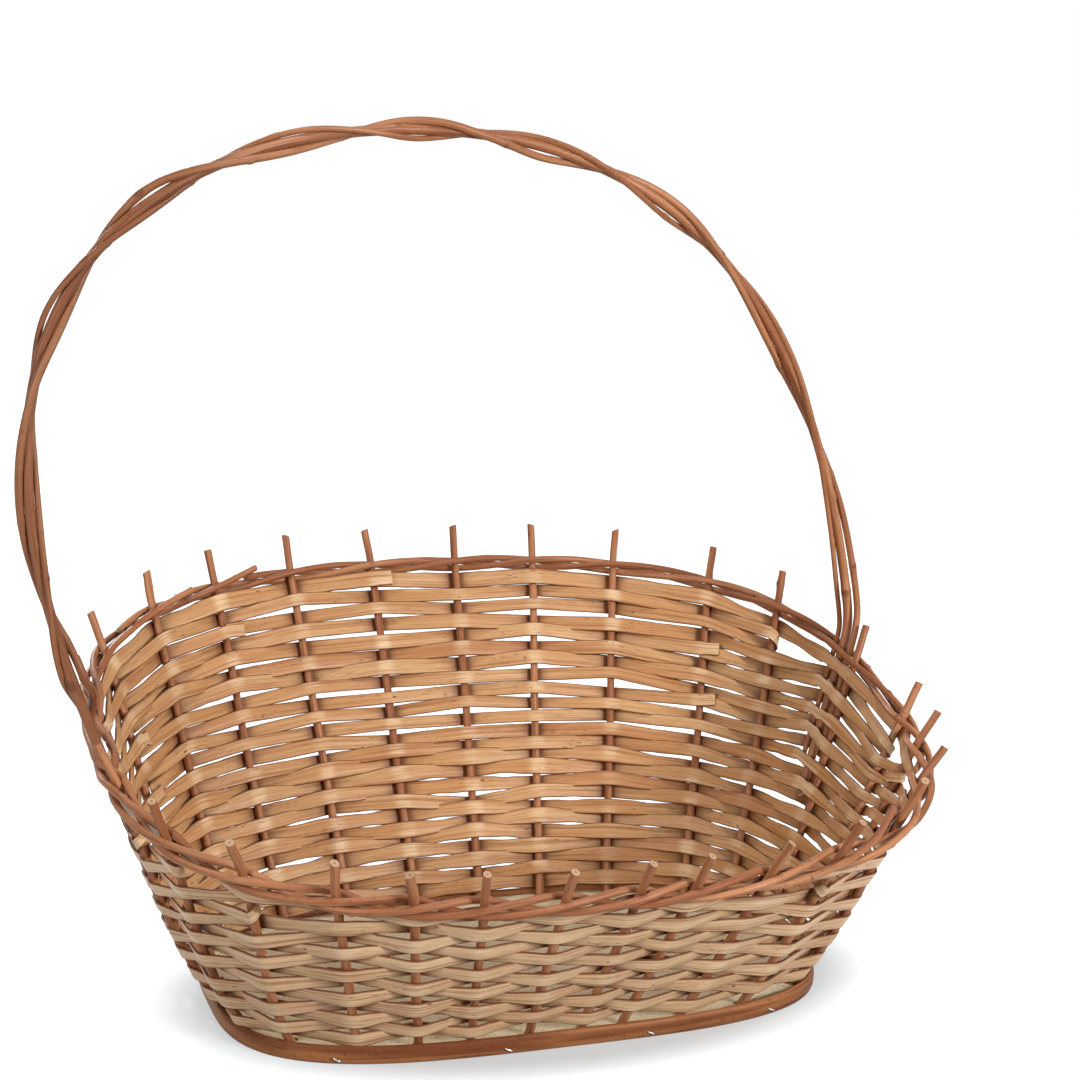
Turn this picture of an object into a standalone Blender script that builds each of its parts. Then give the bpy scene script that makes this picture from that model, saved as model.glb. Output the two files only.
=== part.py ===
"""Oval willow basket with a sloping rim and a fixed bow handle.

A drilled board stands inside a willow foot band.  Round stakes rise from the board and lean
outwards.  Flat split-willow strips are woven round them, three twined rods close the rim, and
a bow of one thick rod and two wrapped rods crosses from end to end.  The origin is on the
underside of the board at its middle, X runs along the basket, and +Y is its high back.
"""

import math

import bmesh
import bpy
from mathutils import Matrix, Vector

# ---------------------------------------------------------------- driving sizes, in metres

CLEARANCE = 0.0003

# Foot: the band's outer face, and the board inside it.
FOOT_HALF_LENGTH = 0.163
FOOT_HALF_WIDTH = 0.099
FOOT_SHIFT_Y = -0.017
FOOT_SQUARENESS = 3.3
BAND_HEIGHT = 0.0095
BAND_THICKNESS = 0.0035
BAND_CREST = 0.45
BAND_FLAT = 0.44
BOARD_THICKNESS = 0.006
STAKE_FROM_BAND = 0.0008

# Rim line: where the stakes leave the twined rods.
RIM_HALF_LENGTH = 0.220
RIM_HALF_WIDTH = 0.1655
RIM_SQUARENESS = 2.6
RIM_SHIFT_X = 0.005
RIM_SHIFT_Y = 0.004
RIM_HEIGHT = 0.144
RIM_RISE = 0.046

# Stakes, set out by eye round the rim; the angles run clockwise from the left of the back.
STAKE_RADIUS = 0.0023
STAKE_STANDS_PROUD = 0.0185
STAKE_ANGLES = (158, 144, 132, 118, 102, 84, 68, 53, 37, 25, 7, -9, -16, -25, -35, -50, -63, -76,
                -86, -99, -112, -122, -132, -144, -156, -169, -190)
STAKE_FAN = math.radians(10.5)

# Flat strips of the weave.
STRIP_WIDTH = 0.0072
STRIP_THICKNESS = 0.0012
STRIP_SPACE = 0.0005
STRIP_EASE = 0.0006
ROW_PITCH = 0.0076
SHORT_PAIRS = 6
SHORT_ROW_ROOM = 0.004
UPPER_ROWS_GIVE = 0.6
STRIP_LAP = 0.010
TOP_ROW_START = 4
SPLICE_SHIFT = 5
SPLICE_ROOM = math.radians(9.0)

# Twined rods of the rim.
ROD_RADIUS = 0.0019
ROD_TAIL = 0.024
ROD_TAIL_RISE = 0.008
ROD_TAIL_DRIFT = 0.003
TWINE_SPREAD = 1.25
TWINE_SLACK = 0.0012
ROD_START = 0.4

# Bow handle: its line, then its three rods.
CROWN_HEIGHT = 0.445
CROWN_SHIFT = -0.055
CROWN_REACH_LEFT = 0.050
CROWN_REACH_RIGHT = 0.1675
FOOT_REACH_LEFT = 0.309
FOOT_REACH_RIGHT = 0.169
FOOT_LEAN_LEFT = 0.072
FOOT_LEAN_RIGHT = -0.166
FOOT_RISE = 0.012
CORE_RADIUS = 0.0027
WRAP_RADII = (0.0020, 0.0015)
WRAP_SPACE = 0.0018
CORE_DEPTH = 0.090
WRAP_DEPTHS = (0.060, 0.070)
LEFT_FOOT_FROM_STAKE = 0.022
RIGHT_FOOT_FROM_STAKE = 0.0155
BOW_SETTLE_LEFT = 0.035
BOW_SETTLE_RIGHT = 0.065
# Both wrapping rods lie beyond the thick one at the left foot.
LEFT_FOOT_TURN = math.pi
# Shares of the bow's length at which a wrapping rod lies in front of the thick one.
BOW_CROSSINGS = (0.0, 0.08, 0.21, 0.29, 0.37, 0.46, 0.53, 0.62, 0.71, 0.84, 1.0)

# Wire staples that hold the band to the board, each in the gap after the numbered stake.
STAPLE_AFTER_STAKE = (2, 6, 10, 15, 17, 20, 23)
STAPLE_WIRE_RADIUS = 0.00045
STAPLE_CROWN = 0.004
STAPLE_LEG = 0.009
STAPLE_SLANT = math.radians(-25.0)

# How finely curves are drawn.
OUTLINE_POINTS = 72
STAKE_SIDES = 8
WIRE_SIDES = 6
TURN_STEPS = 4
BOW_STEP = 0.010
ARCH_STEPS = 24

# ---------------------------------------------------------------- colours of the willow

PEELED_STRIP = (0.66, 0.43, 0.23)
STEAMED_ROD = (0.42, 0.15, 0.055)
FOOT_WILLOW = (0.30, 0.105, 0.035)
FIBREBOARD = (0.45, 0.33, 0.19)
STEEL = (0.62, 0.62, 0.64)

# ---------------------------------------------------------------- sizes that follow

STAKES = [math.radians(angle) for angle in STAKE_ANGLES]
RIGHT_FOOT_STAKE = 10
LEFT_FOOT_STAKE = 25
STAPLE_HEIGHT = BOARD_THICKNESS / 2.0
FOOT_HEIGHT = max(BAND_HEIGHT, BOARD_THICKNESS)
ROD_LIFT = TWINE_SPREAD * ROD_RADIUS
RIM_DEPTH = 2.0 * (ROD_LIFT + ROD_RADIUS)
ANGLE_STEP = math.radians(0.5)
CUT_OVERRUN = 0.001


def oval(angle, half_length, half_width, squareness):
    """Point of a rounded rectangle-like oval in the direction of the angle."""
    cosine, sine = math.cos(angle), math.sin(angle)
    stretch = abs(cosine / half_length) ** squareness + abs(sine / half_width) ** squareness
    radius = stretch ** (-1.0 / squareness)
    return radius * cosine, radius * sine


def foot_outline(angle, inset):
    x, y = oval(angle, FOOT_HALF_LENGTH - inset, FOOT_HALF_WIDTH - inset, FOOT_SQUARENESS)
    return Vector((x, y + FOOT_SHIFT_Y, 0.0))


def foot_angle_of(angle):
    """Angle round the foot of the wall line of a rim angle: the stakes fan into the corners."""
    return angle - STAKE_FAN * math.sin(2.0 * angle)


def wall_rim(angle):
    """Where the wall line of a rim angle meets the rim line."""
    x, y = oval(angle, RIM_HALF_LENGTH, RIM_HALF_WIDTH, RIM_SQUARENESS)
    return Vector((x + RIM_SHIFT_X, y + RIM_SHIFT_Y, RIM_HEIGHT + RIM_RISE * y / RIM_HALF_WIDTH))


def stake_inset():
    """Inset of the stakes at the underside, from which the most leaning one clears the band."""
    clear = BAND_THICKNESS + STAKE_FROM_BAND + STAKE_RADIUS
    insets = []
    for angle in STAKES:
        edge = foot_outline(foot_angle_of(angle), 0.0)
        top = wall_rim(angle)
        spread = (top - edge).dot(edge.normalized())
        insets.append((clear + BAND_HEIGHT * spread / top.z) / (1.0 - BAND_HEIGHT / top.z))
    return max(insets)


STAKE_INSET = stake_inset()


def wall_foot(angle):
    """Where the wall line of a rim angle meets the underside of the board."""
    return foot_outline(foot_angle_of(angle), STAKE_INSET)


def wall_length(angle):
    return (wall_rim(angle) - wall_foot(angle)).length


def wall_axes(angle, height):
    """Unit vectors along the wall (towards larger angles), up it and out of it."""
    share = height / wall_length(angle)
    up = (wall_rim(angle) - wall_foot(angle)).normalized()
    ahead = wall_foot(angle + ANGLE_STEP).lerp(wall_rim(angle + ANGLE_STEP), share)
    behind = wall_foot(angle - ANGLE_STEP).lerp(wall_rim(angle - ANGLE_STEP), share)
    out = (ahead - behind).cross(up).normalized()
    return up.cross(out), up, out


def on_wall(angle, height, outwards=0.0, sideways=0.0):
    """Point at a height up the wall line, moved out of the wall and along it."""
    along, up, out = wall_axes(angle, height)
    return wall_foot(angle) + up * height + out * outwards + along * sideways


def angle_after(edge, angle, distance):
    """Angle reached from another by going a distance along an edge of the wall."""
    speed = (edge(angle + ANGLE_STEP) - edge(angle - ANGLE_STEP)).length / (2.0 * ANGLE_STEP)
    return angle + distance / speed


# ---------------------------------------------------------------- posts that the weave passes

class Line:
    """A line up the wall, from one angle at the foot to another at the rim."""

    def __init__(self, rim_angle, foot_angle=None, depth=None):
        self.rim_angle = rim_angle
        self.foot_angle = rim_angle if foot_angle is None else foot_angle
        self.lowest = 0.0 if depth is None else 1.0 - depth / wall_length(rim_angle)

    def angle_at(self, share):
        return self.foot_angle + (self.rim_angle - self.foot_angle) * share

    def beside(self, distance, depth):
        """Line at an even distance from this one."""
        return Line(angle_after(wall_rim, self.rim_angle, distance),
                    angle_after(wall_foot, self.foot_angle, distance), depth)


class Post:
    """What a strip passes on one side: a stake, or rods of the bow pushed in beside one."""

    def __init__(self, lines, radius, main=0):
        self.lines = lines
        self.radius = radius
        self.main = lines[main]

    def lines_at(self, share):
        return [line for line in self.lines if line is self.main or line.lowest <= share]

    @property
    def is_stake(self):
        return len(self.lines) == 1


WRAP_REACH = [CORE_RADIUS + radius + WRAP_SPACE for radius in WRAP_RADII]
LEFT_OUTER_REACH = WRAP_REACH[1] + sum(WRAP_RADII) + WRAP_SPACE


def left_core_line():
    """The left foot goes down midway between its neighbours, so that strips can pass it."""
    rim_angle = angle_after(wall_rim, STAKES[LEFT_FOOT_STAKE], -LEFT_FOOT_FROM_STAKE)
    foot_angle = (STAKES[LEFT_FOOT_STAKE] + STAKES[LEFT_FOOT_STAKE + 1]) / 2.0
    return Line(rim_angle, foot_angle)


RIGHT_CORE = Line(angle_after(wall_rim, STAKES[RIGHT_FOOT_STAKE], RIGHT_FOOT_FROM_STAKE),
                  depth=CORE_DEPTH + STRIP_WIDTH)
LEFT_CORE = left_core_line()


def make_posts():
    """Posts in weaving order, clockwise seen from above."""
    posts = [Post([Line(angle)], STAKE_RADIUS) for angle in STAKES]
    right_lines = [RIGHT_CORE.beside(WRAP_REACH[1], WRAP_DEPTHS[1] + STRIP_WIDTH), RIGHT_CORE,
                   Line(STAKES[RIGHT_FOOT_STAKE])]
    posts[RIGHT_FOOT_STAKE] = Post(right_lines, CORE_RADIUS, main=2)
    left_lines = [LEFT_CORE, LEFT_CORE.beside(-LEFT_OUTER_REACH, WRAP_DEPTHS[0] + STRIP_WIDTH)]
    posts.insert(LEFT_FOOT_STAKE + 1, Post(left_lines, CORE_RADIUS))
    return posts


POSTS = make_posts()


def weave_bottom(angle):
    """Height up the wall line at which a strip clears the band on the leaning wall's outside."""
    _, up, out = wall_axes(angle, 0.0)
    strip_outside = CORE_RADIUS + STRIP_THICKNESS + 1.5 * STRIP_EASE
    return (FOOT_HEIGHT + CLEARANCE - out.z * strip_outside) / up.z


def weave_height(angle):
    """Room for the weave, up the wall line between the band and the rim rods."""
    return wall_length(angle) - RIM_DEPTH - CLEARANCE - weave_bottom(angle)


def post_room(post):
    return weave_height(post.main.rim_angle)


LOWER_ROWS = round(min(post_room(post) for post in POSTS) / ROW_PITCH) - 1


def short_row_spans():
    """First and last post of each pair of short rows, longest pair first.

    The rim slopes, so the back wall has room for more rows than the front.  The extra rows
    go in pairs: a strip runs along the back, turns round a stake and comes back above itself.
    The rows close up towards the ends, so that most of the pairs turn there.
    """
    rooms = [post_room(post) for post in POSTS]
    wanted = [min(SHORT_PAIRS, round((room - min(rooms)) / (2.0 * SHORT_ROW_ROOM))) for room in rooms]
    highest = rooms.index(max(rooms))
    spans = []
    for pair in range(1, SHORT_PAIRS + 1):
        first = last = highest
        while wanted[(first - 1) % len(POSTS)] >= pair and last - first < len(POSTS) - 2:
            first -= 1
        while wanted[(last + 1) % len(POSTS)] >= pair and last - first < len(POSTS) - 2:
            last += 1
        while not POSTS[first % len(POSTS)].is_stake:
            first += 1
        while not POSTS[last % len(POSTS)].is_stake:
            last -= 1
        spans.append((first, last))
    return spans


SHORT_SPANS = short_row_spans()


def pairs_at(index):
    turns = len(POSTS)
    return sum(1 for first, last in SHORT_SPANS if (index - first) % turns <= last - first)


def rows_at(index):
    return LOWER_ROWS + 1 + 2 * pairs_at(index)


TOP_ROW = LOWER_ROWS + 2 * len(SHORT_SPANS)


def side_of(row, index):
    """Plain weave: +1 where a row passes outside a post, and -1 where it passes inside."""
    return 1 if (row + index) % 2 == 0 else -1


class Station:
    """One cross-section of a strip: its middle, its width direction and its width."""

    def __init__(self, middle, width_axis, width):
        self.middle = middle
        self.width_axis = width_axis
        self.width = width


def crowding(index):
    """How far the upper rows close up at a post where the rows are tight."""
    pitch = post_room(POSTS[index]) / rows_at(index)
    return UPPER_ROWS_GIVE * max(0.0, ROW_PITCH / pitch - 1.0)


def share_up(index, rank):
    """Share of the wall line's length at which a strip rank rows up passes a post."""
    angle = POSTS[index].main.rim_angle
    place = (rank + 0.5) / rows_at(index)
    place += crowding(index) * place * (1.0 - place)
    return (weave_bottom(angle) + place * weave_height(angle)) / wall_length(angle)


def row_pitch(index, rank):
    """Distance up the wall line from a row to the next one at a post."""
    place = (rank + 0.5) / rows_at(index)
    pitch = post_room(POSTS[index]) / rows_at(index)
    return pitch * (1.0 + crowding(index) * (1.0 - 2.0 * place))


def station(index, rank, line, outwards, sideways=0.0):
    """Cross-section of the strip that is rank rows up at a post."""
    share = share_up(index, rank)
    angle = line.angle_at(share)
    height = share * wall_length(angle)
    _, up, _ = wall_axes(angle, height)
    middle = on_wall(angle, height, outwards, sideways)
    return Station(middle, up, min(STRIP_WIDTH, row_pitch(index, rank) - STRIP_SPACE))


def strip_offset(post):
    """Distance from a post's middle to the middle of a strip that passes it."""
    ease = STRIP_EASE if post.is_stake else 1.5 * STRIP_EASE
    return post.radius + STRIP_THICKNESS / 2.0 + ease


def pass_post(row, rank, index, order):
    """Stations of a strip that passes a post, in clockwise order or against it."""
    place = index % len(POSTS)
    post = POSTS[place]
    outwards = side_of(row, place) * strip_offset(post)
    lines = post.lines_at(share_up(place, rank))
    stations = [station(place, rank, line, outwards) for line in lines]
    return stations if order > 0 else stations[::-1]


def turn_round(index, rank, start_side, clockwise):
    """Stations of a strip that wraps a stake and comes back one row higher."""
    place = index % len(POSTS)
    post = POSTS[place]
    reach = strip_offset(post) + CLEARANCE
    beyond = -1.0 if clockwise else 1.0
    stations = []
    for step in range(TURN_STEPS + 1):
        share = step / TURN_STEPS
        swing = math.pi * (share - 0.5)
        outwards = start_side * -math.sin(swing) * reach
        sideways = beyond * math.cos(swing) * reach
        stations.append(station(place, rank + share, post.main, outwards, sideways))
    return stations


def lap_end(index, rank):
    """Last stations of a strip, laid over its own start on the inside of a stake."""
    place = index % len(POSTS)
    post = POSTS[place]
    inwards = -(strip_offset(post) + STRIP_THICKNESS + 2.0 * CLEARANCE)
    return [station(place, rank, post.main, inwards),
            station(place, rank, post.main, inwards, -STRIP_LAP)]


def splice_post(row, candidates):
    """Post where a row starts and ends, inside a stake with room on both sides."""
    for index in candidates:
        post = POSTS[index % len(POSTS)]
        neighbours = [POSTS[(index + side) % len(POSTS)].main.rim_angle for side in (-1, 1)]
        own = post.main.rim_angle
        roomy = all(math.cos(angle - own) < math.cos(SPLICE_ROOM) for angle in neighbours)
        if post.is_stake and roomy and side_of(row, index) < 0:
            return index
    return candidates[0]


def front_posts(row):
    """Posts of the front wall, in the order that a row tries for its start."""
    first = RIGHT_FOOT_STAKE + 1
    count = LEFT_FOOT_STAKE - first
    return [first + (SPLICE_SHIFT * row + step) % count for step in range(count)]


def ring_stations(row, rank_at, start_posts):
    """Stations of a strip that goes once round the basket."""
    start = splice_post(row, start_posts)
    stations = []
    for index in range(start, start + len(POSTS)):
        stations += pass_post(row, rank_at(index % len(POSTS)), index, 1)
    return stations + lap_end(start, rank_at(start % len(POSTS)))


def short_stations(row, first, last):
    """Stations of a strip that makes a pair of short rows, and starts near one of its turns."""
    near_last = (row - LOWER_ROWS) % 4 == 0
    inner = range(last - 1, first + 1, -1) if near_last else range(first + 2, last)
    start = splice_post(row, inner)
    stations = []
    for index in range(start, last):
        stations += pass_post(row, row, index, 1)
    stations += turn_round(last, row, side_of(row, last), True)
    for index in range(last - 1, first, -1):
        stations += pass_post(row + 1, row + 1, index, -1)
    stations += turn_round(first, row, side_of(row, first), False)[::-1]
    for index in range(first + 1, start):
        stations += pass_post(row, row, index, 1)
    return stations + lap_end(start, row)


# ---------------------------------------------------------------- meshes, curves, materials

def clear_scene():
    for item in list(bpy.data.objects):
        bpy.data.objects.remove(item, do_unlink=True)


def finish(name, colour, roughness, metallic=0.0):
    material = bpy.data.materials.new(name + "_finish")
    material.use_nodes = True
    shader = material.node_tree.nodes["Principled BSDF"]
    shader.inputs["Base Color"].default_value = (*colour, 1.0)
    shader.inputs["Roughness"].default_value = roughness
    shader.inputs["Metallic"].default_value = metallic
    return material


def add_mesh(name, shape, material=None):
    """Object from a bmesh, which is freed."""
    mesh = bpy.data.meshes.new(name)
    bmesh.ops.recalc_face_normals(shape, faces=shape.faces)
    shape.to_mesh(mesh)
    shape.free()
    if material:
        mesh.materials.append(material)
    made = bpy.data.objects.new(name, mesh)
    bpy.context.collection.objects.link(made)
    return made


def add_rod(name, points, radius, material, resolution=1):
    """Round rod along points, as a bevelled curve with filled ends."""
    curve = bpy.data.curves.new(name, "CURVE")
    curve.dimensions = "3D"
    curve.bevel_depth = radius
    curve.bevel_resolution = resolution
    curve.use_fill_caps = True
    spline = curve.splines.new("POLY")
    spline.points.add(len(points) - 1)
    for knot, point in zip(spline.points, points):
        knot.co = (*point, 1.0)
    curve.materials.append(material)
    made = bpy.data.objects.new(name, curve)
    bpy.context.collection.objects.link(made)
    return made


def add_strip(name, stations, material):
    """Flat strip: a ribbon through the stations, thickened evenly to both sides."""
    shape = bmesh.new()
    edges = []
    for one in stations:
        half = one.width_axis * one.width / 2.0
        edges.append((shape.verts.new(one.middle - half), shape.verts.new(one.middle + half)))
    for (low, high), (next_low, next_high) in zip(edges, edges[1:]):
        shape.faces.new((low, next_low, next_high, high))
    made = add_mesh(name, shape, material)
    thicken = made.modifiers.new("thickness", "SOLIDIFY")
    thicken.thickness = STRIP_THICKNESS
    thicken.offset = 0.0
    thicken.use_even_offset = True
    return made


def add_cylinder(shape, start, end, radius, sides):
    """Capped cylinder between two points, added to a bmesh."""
    axis = end - start
    turn = axis.to_track_quat("Z", "Y").to_matrix().to_4x4()
    place = Matrix.Translation((start + end) / 2.0) @ turn
    bmesh.ops.create_cone(shape, cap_ends=True, segments=sides, radius1=radius, radius2=radius,
                          depth=axis.length, matrix=place)


def cut_with(target, cutter):
    """Boolean cut of a target by a hidden cutter."""
    cutter.hide_render = True
    cutter.display_type = "WIRE"
    cut = target.modifiers.new("holes", "BOOLEAN")
    cut.operation = "DIFFERENCE"
    cut.object = cutter


# ---------------------------------------------------------------- foot

def staple_places():
    """Middle, direction along the band and direction inwards of each staple."""
    places = []
    for number in STAPLE_AFTER_STAKE:
        before, after = STAKES[number - 1], STAKES[number]
        beyond = (wall_foot(before) + wall_foot(after)) / 2.0
        angle = math.atan2(beyond.y, beyond.x)
        middle = foot_outline(angle, 0.0)
        along = foot_outline(angle + ANGLE_STEP, 0.0) - foot_outline(angle - ANGLE_STEP, 0.0)
        along.normalize()
        inwards = Vector((-along.y, along.x, 0.0))
        middle.z = STAPLE_HEIGHT
        crown = along * math.cos(STAPLE_SLANT) + Vector((0.0, 0.0, math.sin(STAPLE_SLANT)))
        places.append((middle, crown, inwards))
    return places


def staple_legs(middle, crown, inwards):
    """Start and end of both legs, from the crown's line to the tips."""
    legs = []
    for side in (-0.5, 0.5):
        start = middle + crown * side * STAPLE_CROWN - inwards * (STAPLE_WIRE_RADIUS + CLEARANCE)
        legs.append((start, start + inwards * STAPLE_LEG))
    return legs


def add_leg_cutter():
    shape = bmesh.new()
    for middle, crown, inwards in staple_places():
        for start, end in staple_legs(middle, crown, inwards):
            overrun = inwards * CUT_OVERRUN
            add_cylinder(shape, start - overrun, end + overrun, STAPLE_WIRE_RADIUS + CLEARANCE,
                         WIRE_SIDES)
    return add_mesh("staple_leg_cutter", shape)


def add_stake_cutter():
    shape = bmesh.new()
    for angle in STAKES:
        below = on_wall(angle, -BOARD_THICKNESS)
        above = on_wall(angle, 2.0 * BOARD_THICKNESS)
        add_cylinder(shape, below, above, STAKE_RADIUS + CLEARANCE, STAKE_SIDES)
    return add_mesh("stake_hole_cutter", shape)


def add_board(leg_cutter):
    shape = bmesh.new()
    inset = BAND_THICKNESS + CLEARANCE
    turns = [2.0 * math.pi * step / OUTLINE_POINTS for step in range(OUTLINE_POINTS)]
    face = shape.faces.new([shape.verts.new(foot_outline(turn, inset)) for turn in turns])
    grown = bmesh.ops.extrude_face_region(shape, geom=[face])
    raised = [item for item in grown["geom"] if isinstance(item, bmesh.types.BMVert)]
    bmesh.ops.translate(shape, verts=raised, vec=(0.0, 0.0, BOARD_THICKNESS))
    board = add_mesh("base_board", shape, finish("base_board", FIBREBOARD, 0.85))
    cut_with(board, add_stake_cutter())
    cut_with(board, leg_cutter)


def add_band(leg_cutter):
    """Foot band: a half-round willow rod bent round the board, its ends butted at the back."""
    flat_top, flat_bottom = (1.0 + BAND_FLAT) / 2.0, (1.0 - BAND_FLAT) / 2.0
    profile = [(1.0, 0.0), (1.0, 1.0), (BAND_CREST, 1.0), (0.0, flat_top), (0.0, flat_bottom),
               (BAND_CREST, 0.0)]
    shape = bmesh.new()
    loops = []
    butt = 2.0 * CLEARANCE / FOOT_HALF_WIDTH
    for step in range(OUTLINE_POINTS + 1):
        turn = math.pi / 2.0 + butt / 2.0 + (2.0 * math.pi - butt) * step / OUTLINE_POINTS
        loop = []
        for depth, share in profile:
            point = foot_outline(turn, depth * BAND_THICKNESS)
            point.z = share * BAND_HEIGHT
            loop.append(shape.verts.new(point))
        loops.append(loop)
    for loop, following in zip(loops, loops[1:]):
        for side in range(len(profile)):
            other = (side + 1) % len(profile)
            shape.faces.new((loop[side], loop[other], following[other], following[side]))
    shape.faces.new(loops[0])
    shape.faces.new(loops[-1])
    band = add_mesh("foot_band", shape, finish("foot_band", FOOT_WILLOW, 0.6))
    cut_with(band, leg_cutter)


def add_staples():
    for number, (middle, crown, inwards) in enumerate(staple_places(), 1):
        (left, left_tip), (right, right_tip) = staple_legs(middle, crown, inwards)
        bend = STAPLE_WIRE_RADIUS
        corner_in = inwards * bend
        corner_side = crown * bend
        points = [left_tip, left + corner_in, left + corner_side, right - corner_side,
                  right + corner_in, right_tip]
        name = f"staple_{number}"
        add_rod(name, points, STAPLE_WIRE_RADIUS, finish(name, STEEL, 0.35, 1.0))


def add_stakes():
    for number, angle in enumerate(STAKES, 1):
        shape = bmesh.new()
        below = on_wall(angle, -BOARD_THICKNESS)
        top = on_wall(angle, wall_length(angle) + STAKE_STANDS_PROUD)
        add_cylinder(shape, below, top, STAKE_RADIUS, STAKE_SIDES)
        everything = shape.verts[:] + shape.edges[:] + shape.faces[:]
        bmesh.ops.bisect_plane(shape, geom=everything, plane_co=(0.0, 0.0, 0.0),
                               plane_no=(0.0, 0.0, 1.0), clear_inner=True)
        rims = [edge for edge in shape.edges if edge.is_boundary]
        bmesh.ops.edgeloop_fill(shape, edges=rims)
        name = f"stake_{number:02d}"
        stake = add_mesh(name, shape, finish(name, STEAMED_ROD, 0.5))
        stake.data.shade_smooth()
        stake.data.set_sharp_from_angle(angle=math.radians(50.0))


# ---------------------------------------------------------------- weave

def add_weave():
    for row in range(LOWER_ROWS):
        name = f"weave_row_{row + 1:02d}"
        stations = ring_stations(row, lambda index, rank=row: rank, front_posts(row))
        add_strip(name, stations, finish(name, PEELED_STRIP, 0.6))
    for pair, (first, last) in enumerate(SHORT_SPANS):
        name = f"weave_short_pair_{pair + 1}"
        stations = short_stations(LOWER_ROWS + 2 * pair, first, last)
        add_strip(name, stations, finish(name, PEELED_STRIP, 0.6))
    name = "weave_row_top"
    start_posts = range(TOP_ROW_START, TOP_ROW_START + len(POSTS))
    stations = ring_stations(TOP_ROW, lambda index: rows_at(index) - 1, start_posts)
    add_strip(name, stations, finish(name, PEELED_STRIP, 0.6))


# ---------------------------------------------------------------- rim

RIM_RODS = 3
ROD_INSIDE, ROD_HIGH, ROD_LOW = range(RIM_RODS)


def rim_place(angle, outwards, lift, sideways=0.0):
    height = wall_length(angle) - RIM_DEPTH / 2.0 + lift
    return on_wall(angle, height, outwards, sideways)


def rod_at_post(post, role):
    """Offsets of a rim rod, outwards and upwards, where it passes a post."""
    close = 1.0 if post.is_stake else 2.0
    offset = post.radius + ROD_RADIUS + close * CLEARANCE
    offsets = {ROD_INSIDE: (-offset, 0.0), ROD_HIGH: (offset, ROD_LIFT), ROD_LOW: (offset, -ROD_LIFT)}
    return offsets[role]


def rod_between(post, following, role):
    """Offsets of a rim rod midway to the next post, for its role at the post that it leaves."""
    outer = max(post.radius, following.radius) + ROD_RADIUS + TWINE_SLACK
    offsets = {ROD_INSIDE: (0.0, ROD_LIFT), ROD_HIGH: (outer, 0.0), ROD_LOW: (0.0, -ROD_LIFT)}
    return offsets[role]


def angle_between(post, following, share):
    start, end = post.lines[-1].rim_angle, following.lines[0].rim_angle
    gap = (start - end) % (2.0 * math.pi)
    return start - gap * share


def add_rim():
    """Three rods twined round the posts: each passes two on the outside, then one inside."""
    turns = len(POSTS)
    for number in range(RIM_RODS):
        last = number + RIM_RODS * math.ceil((turns - number) / RIM_RODS)
        following = POSTS[(number + 1) % turns]
        angle = angle_between(POSTS[number], following, ROD_START)
        outwards, _ = rod_at_post(POSTS[number], ROD_INSIDE)
        points = [rim_place(angle, outwards * (0.5 - ROD_START), ROD_LIFT * 2.0 * ROD_START)]
        for index in range(number, last):
            post, following = POSTS[index % turns], POSTS[(index + 1) % turns]
            role = (index - number) % RIM_RODS
            if index > number:
                points += [rim_place(line.rim_angle, *rod_at_post(post, role)) for line in post.lines]
            halfway = angle_between(post, following, 0.5)
            points.append(rim_place(halfway, *rod_between(post, following, role)))
        post = POSTS[last % turns]
        outwards, lift = rod_at_post(post, ROD_INSIDE)
        angle = post.main.rim_angle
        points.append(rim_place(angle, outwards, lift))
        points.append(rim_place(angle, outwards - ROD_TAIL_DRIFT, lift + ROD_TAIL_RISE, -ROD_TAIL))
        name = f"rim_rod_{number + 1}"
        add_rod(name, points, ROD_RADIUS, finish(name, STEAMED_ROD, 0.5))


# ---------------------------------------------------------------- bow handle

def bezier(start, start_handle, end_handle, end, share):
    rest = 1.0 - share
    return (start * rest ** 3 + start_handle * 3.0 * rest * rest * share
            + end_handle * 3.0 * rest * share * share + end * share ** 3)


def evenly_spaced(points, step):
    """Points at equal distances along a polyline."""
    lengths = [0.0]
    for before, after in zip(points, points[1:]):
        lengths.append(lengths[-1] + (after - before).length)
    count = max(2, round(lengths[-1] / step))
    spaced = []
    leg = 0
    for index in range(count + 1):
        target = lengths[-1] * index / count
        while leg < len(points) - 2 and lengths[leg + 1] < target:
            leg += 1
        share = (target - lengths[leg]) / (lengths[leg + 1] - lengths[leg])
        spaced.append(points[leg].lerp(points[leg + 1], min(1.0, share)))
    return spaced


def smoothstep(share):
    share = min(1.0, max(0.0, share))
    return share * share * (3.0 - 2.0 * share)


def foot_of_bow(line, depth):
    """Point of a foot of the bow at a depth below the rim line."""
    share = 1.0 - depth / wall_length(line.rim_angle)
    angle = line.angle_at(share)
    return on_wall(angle, share * wall_length(angle))


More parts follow.
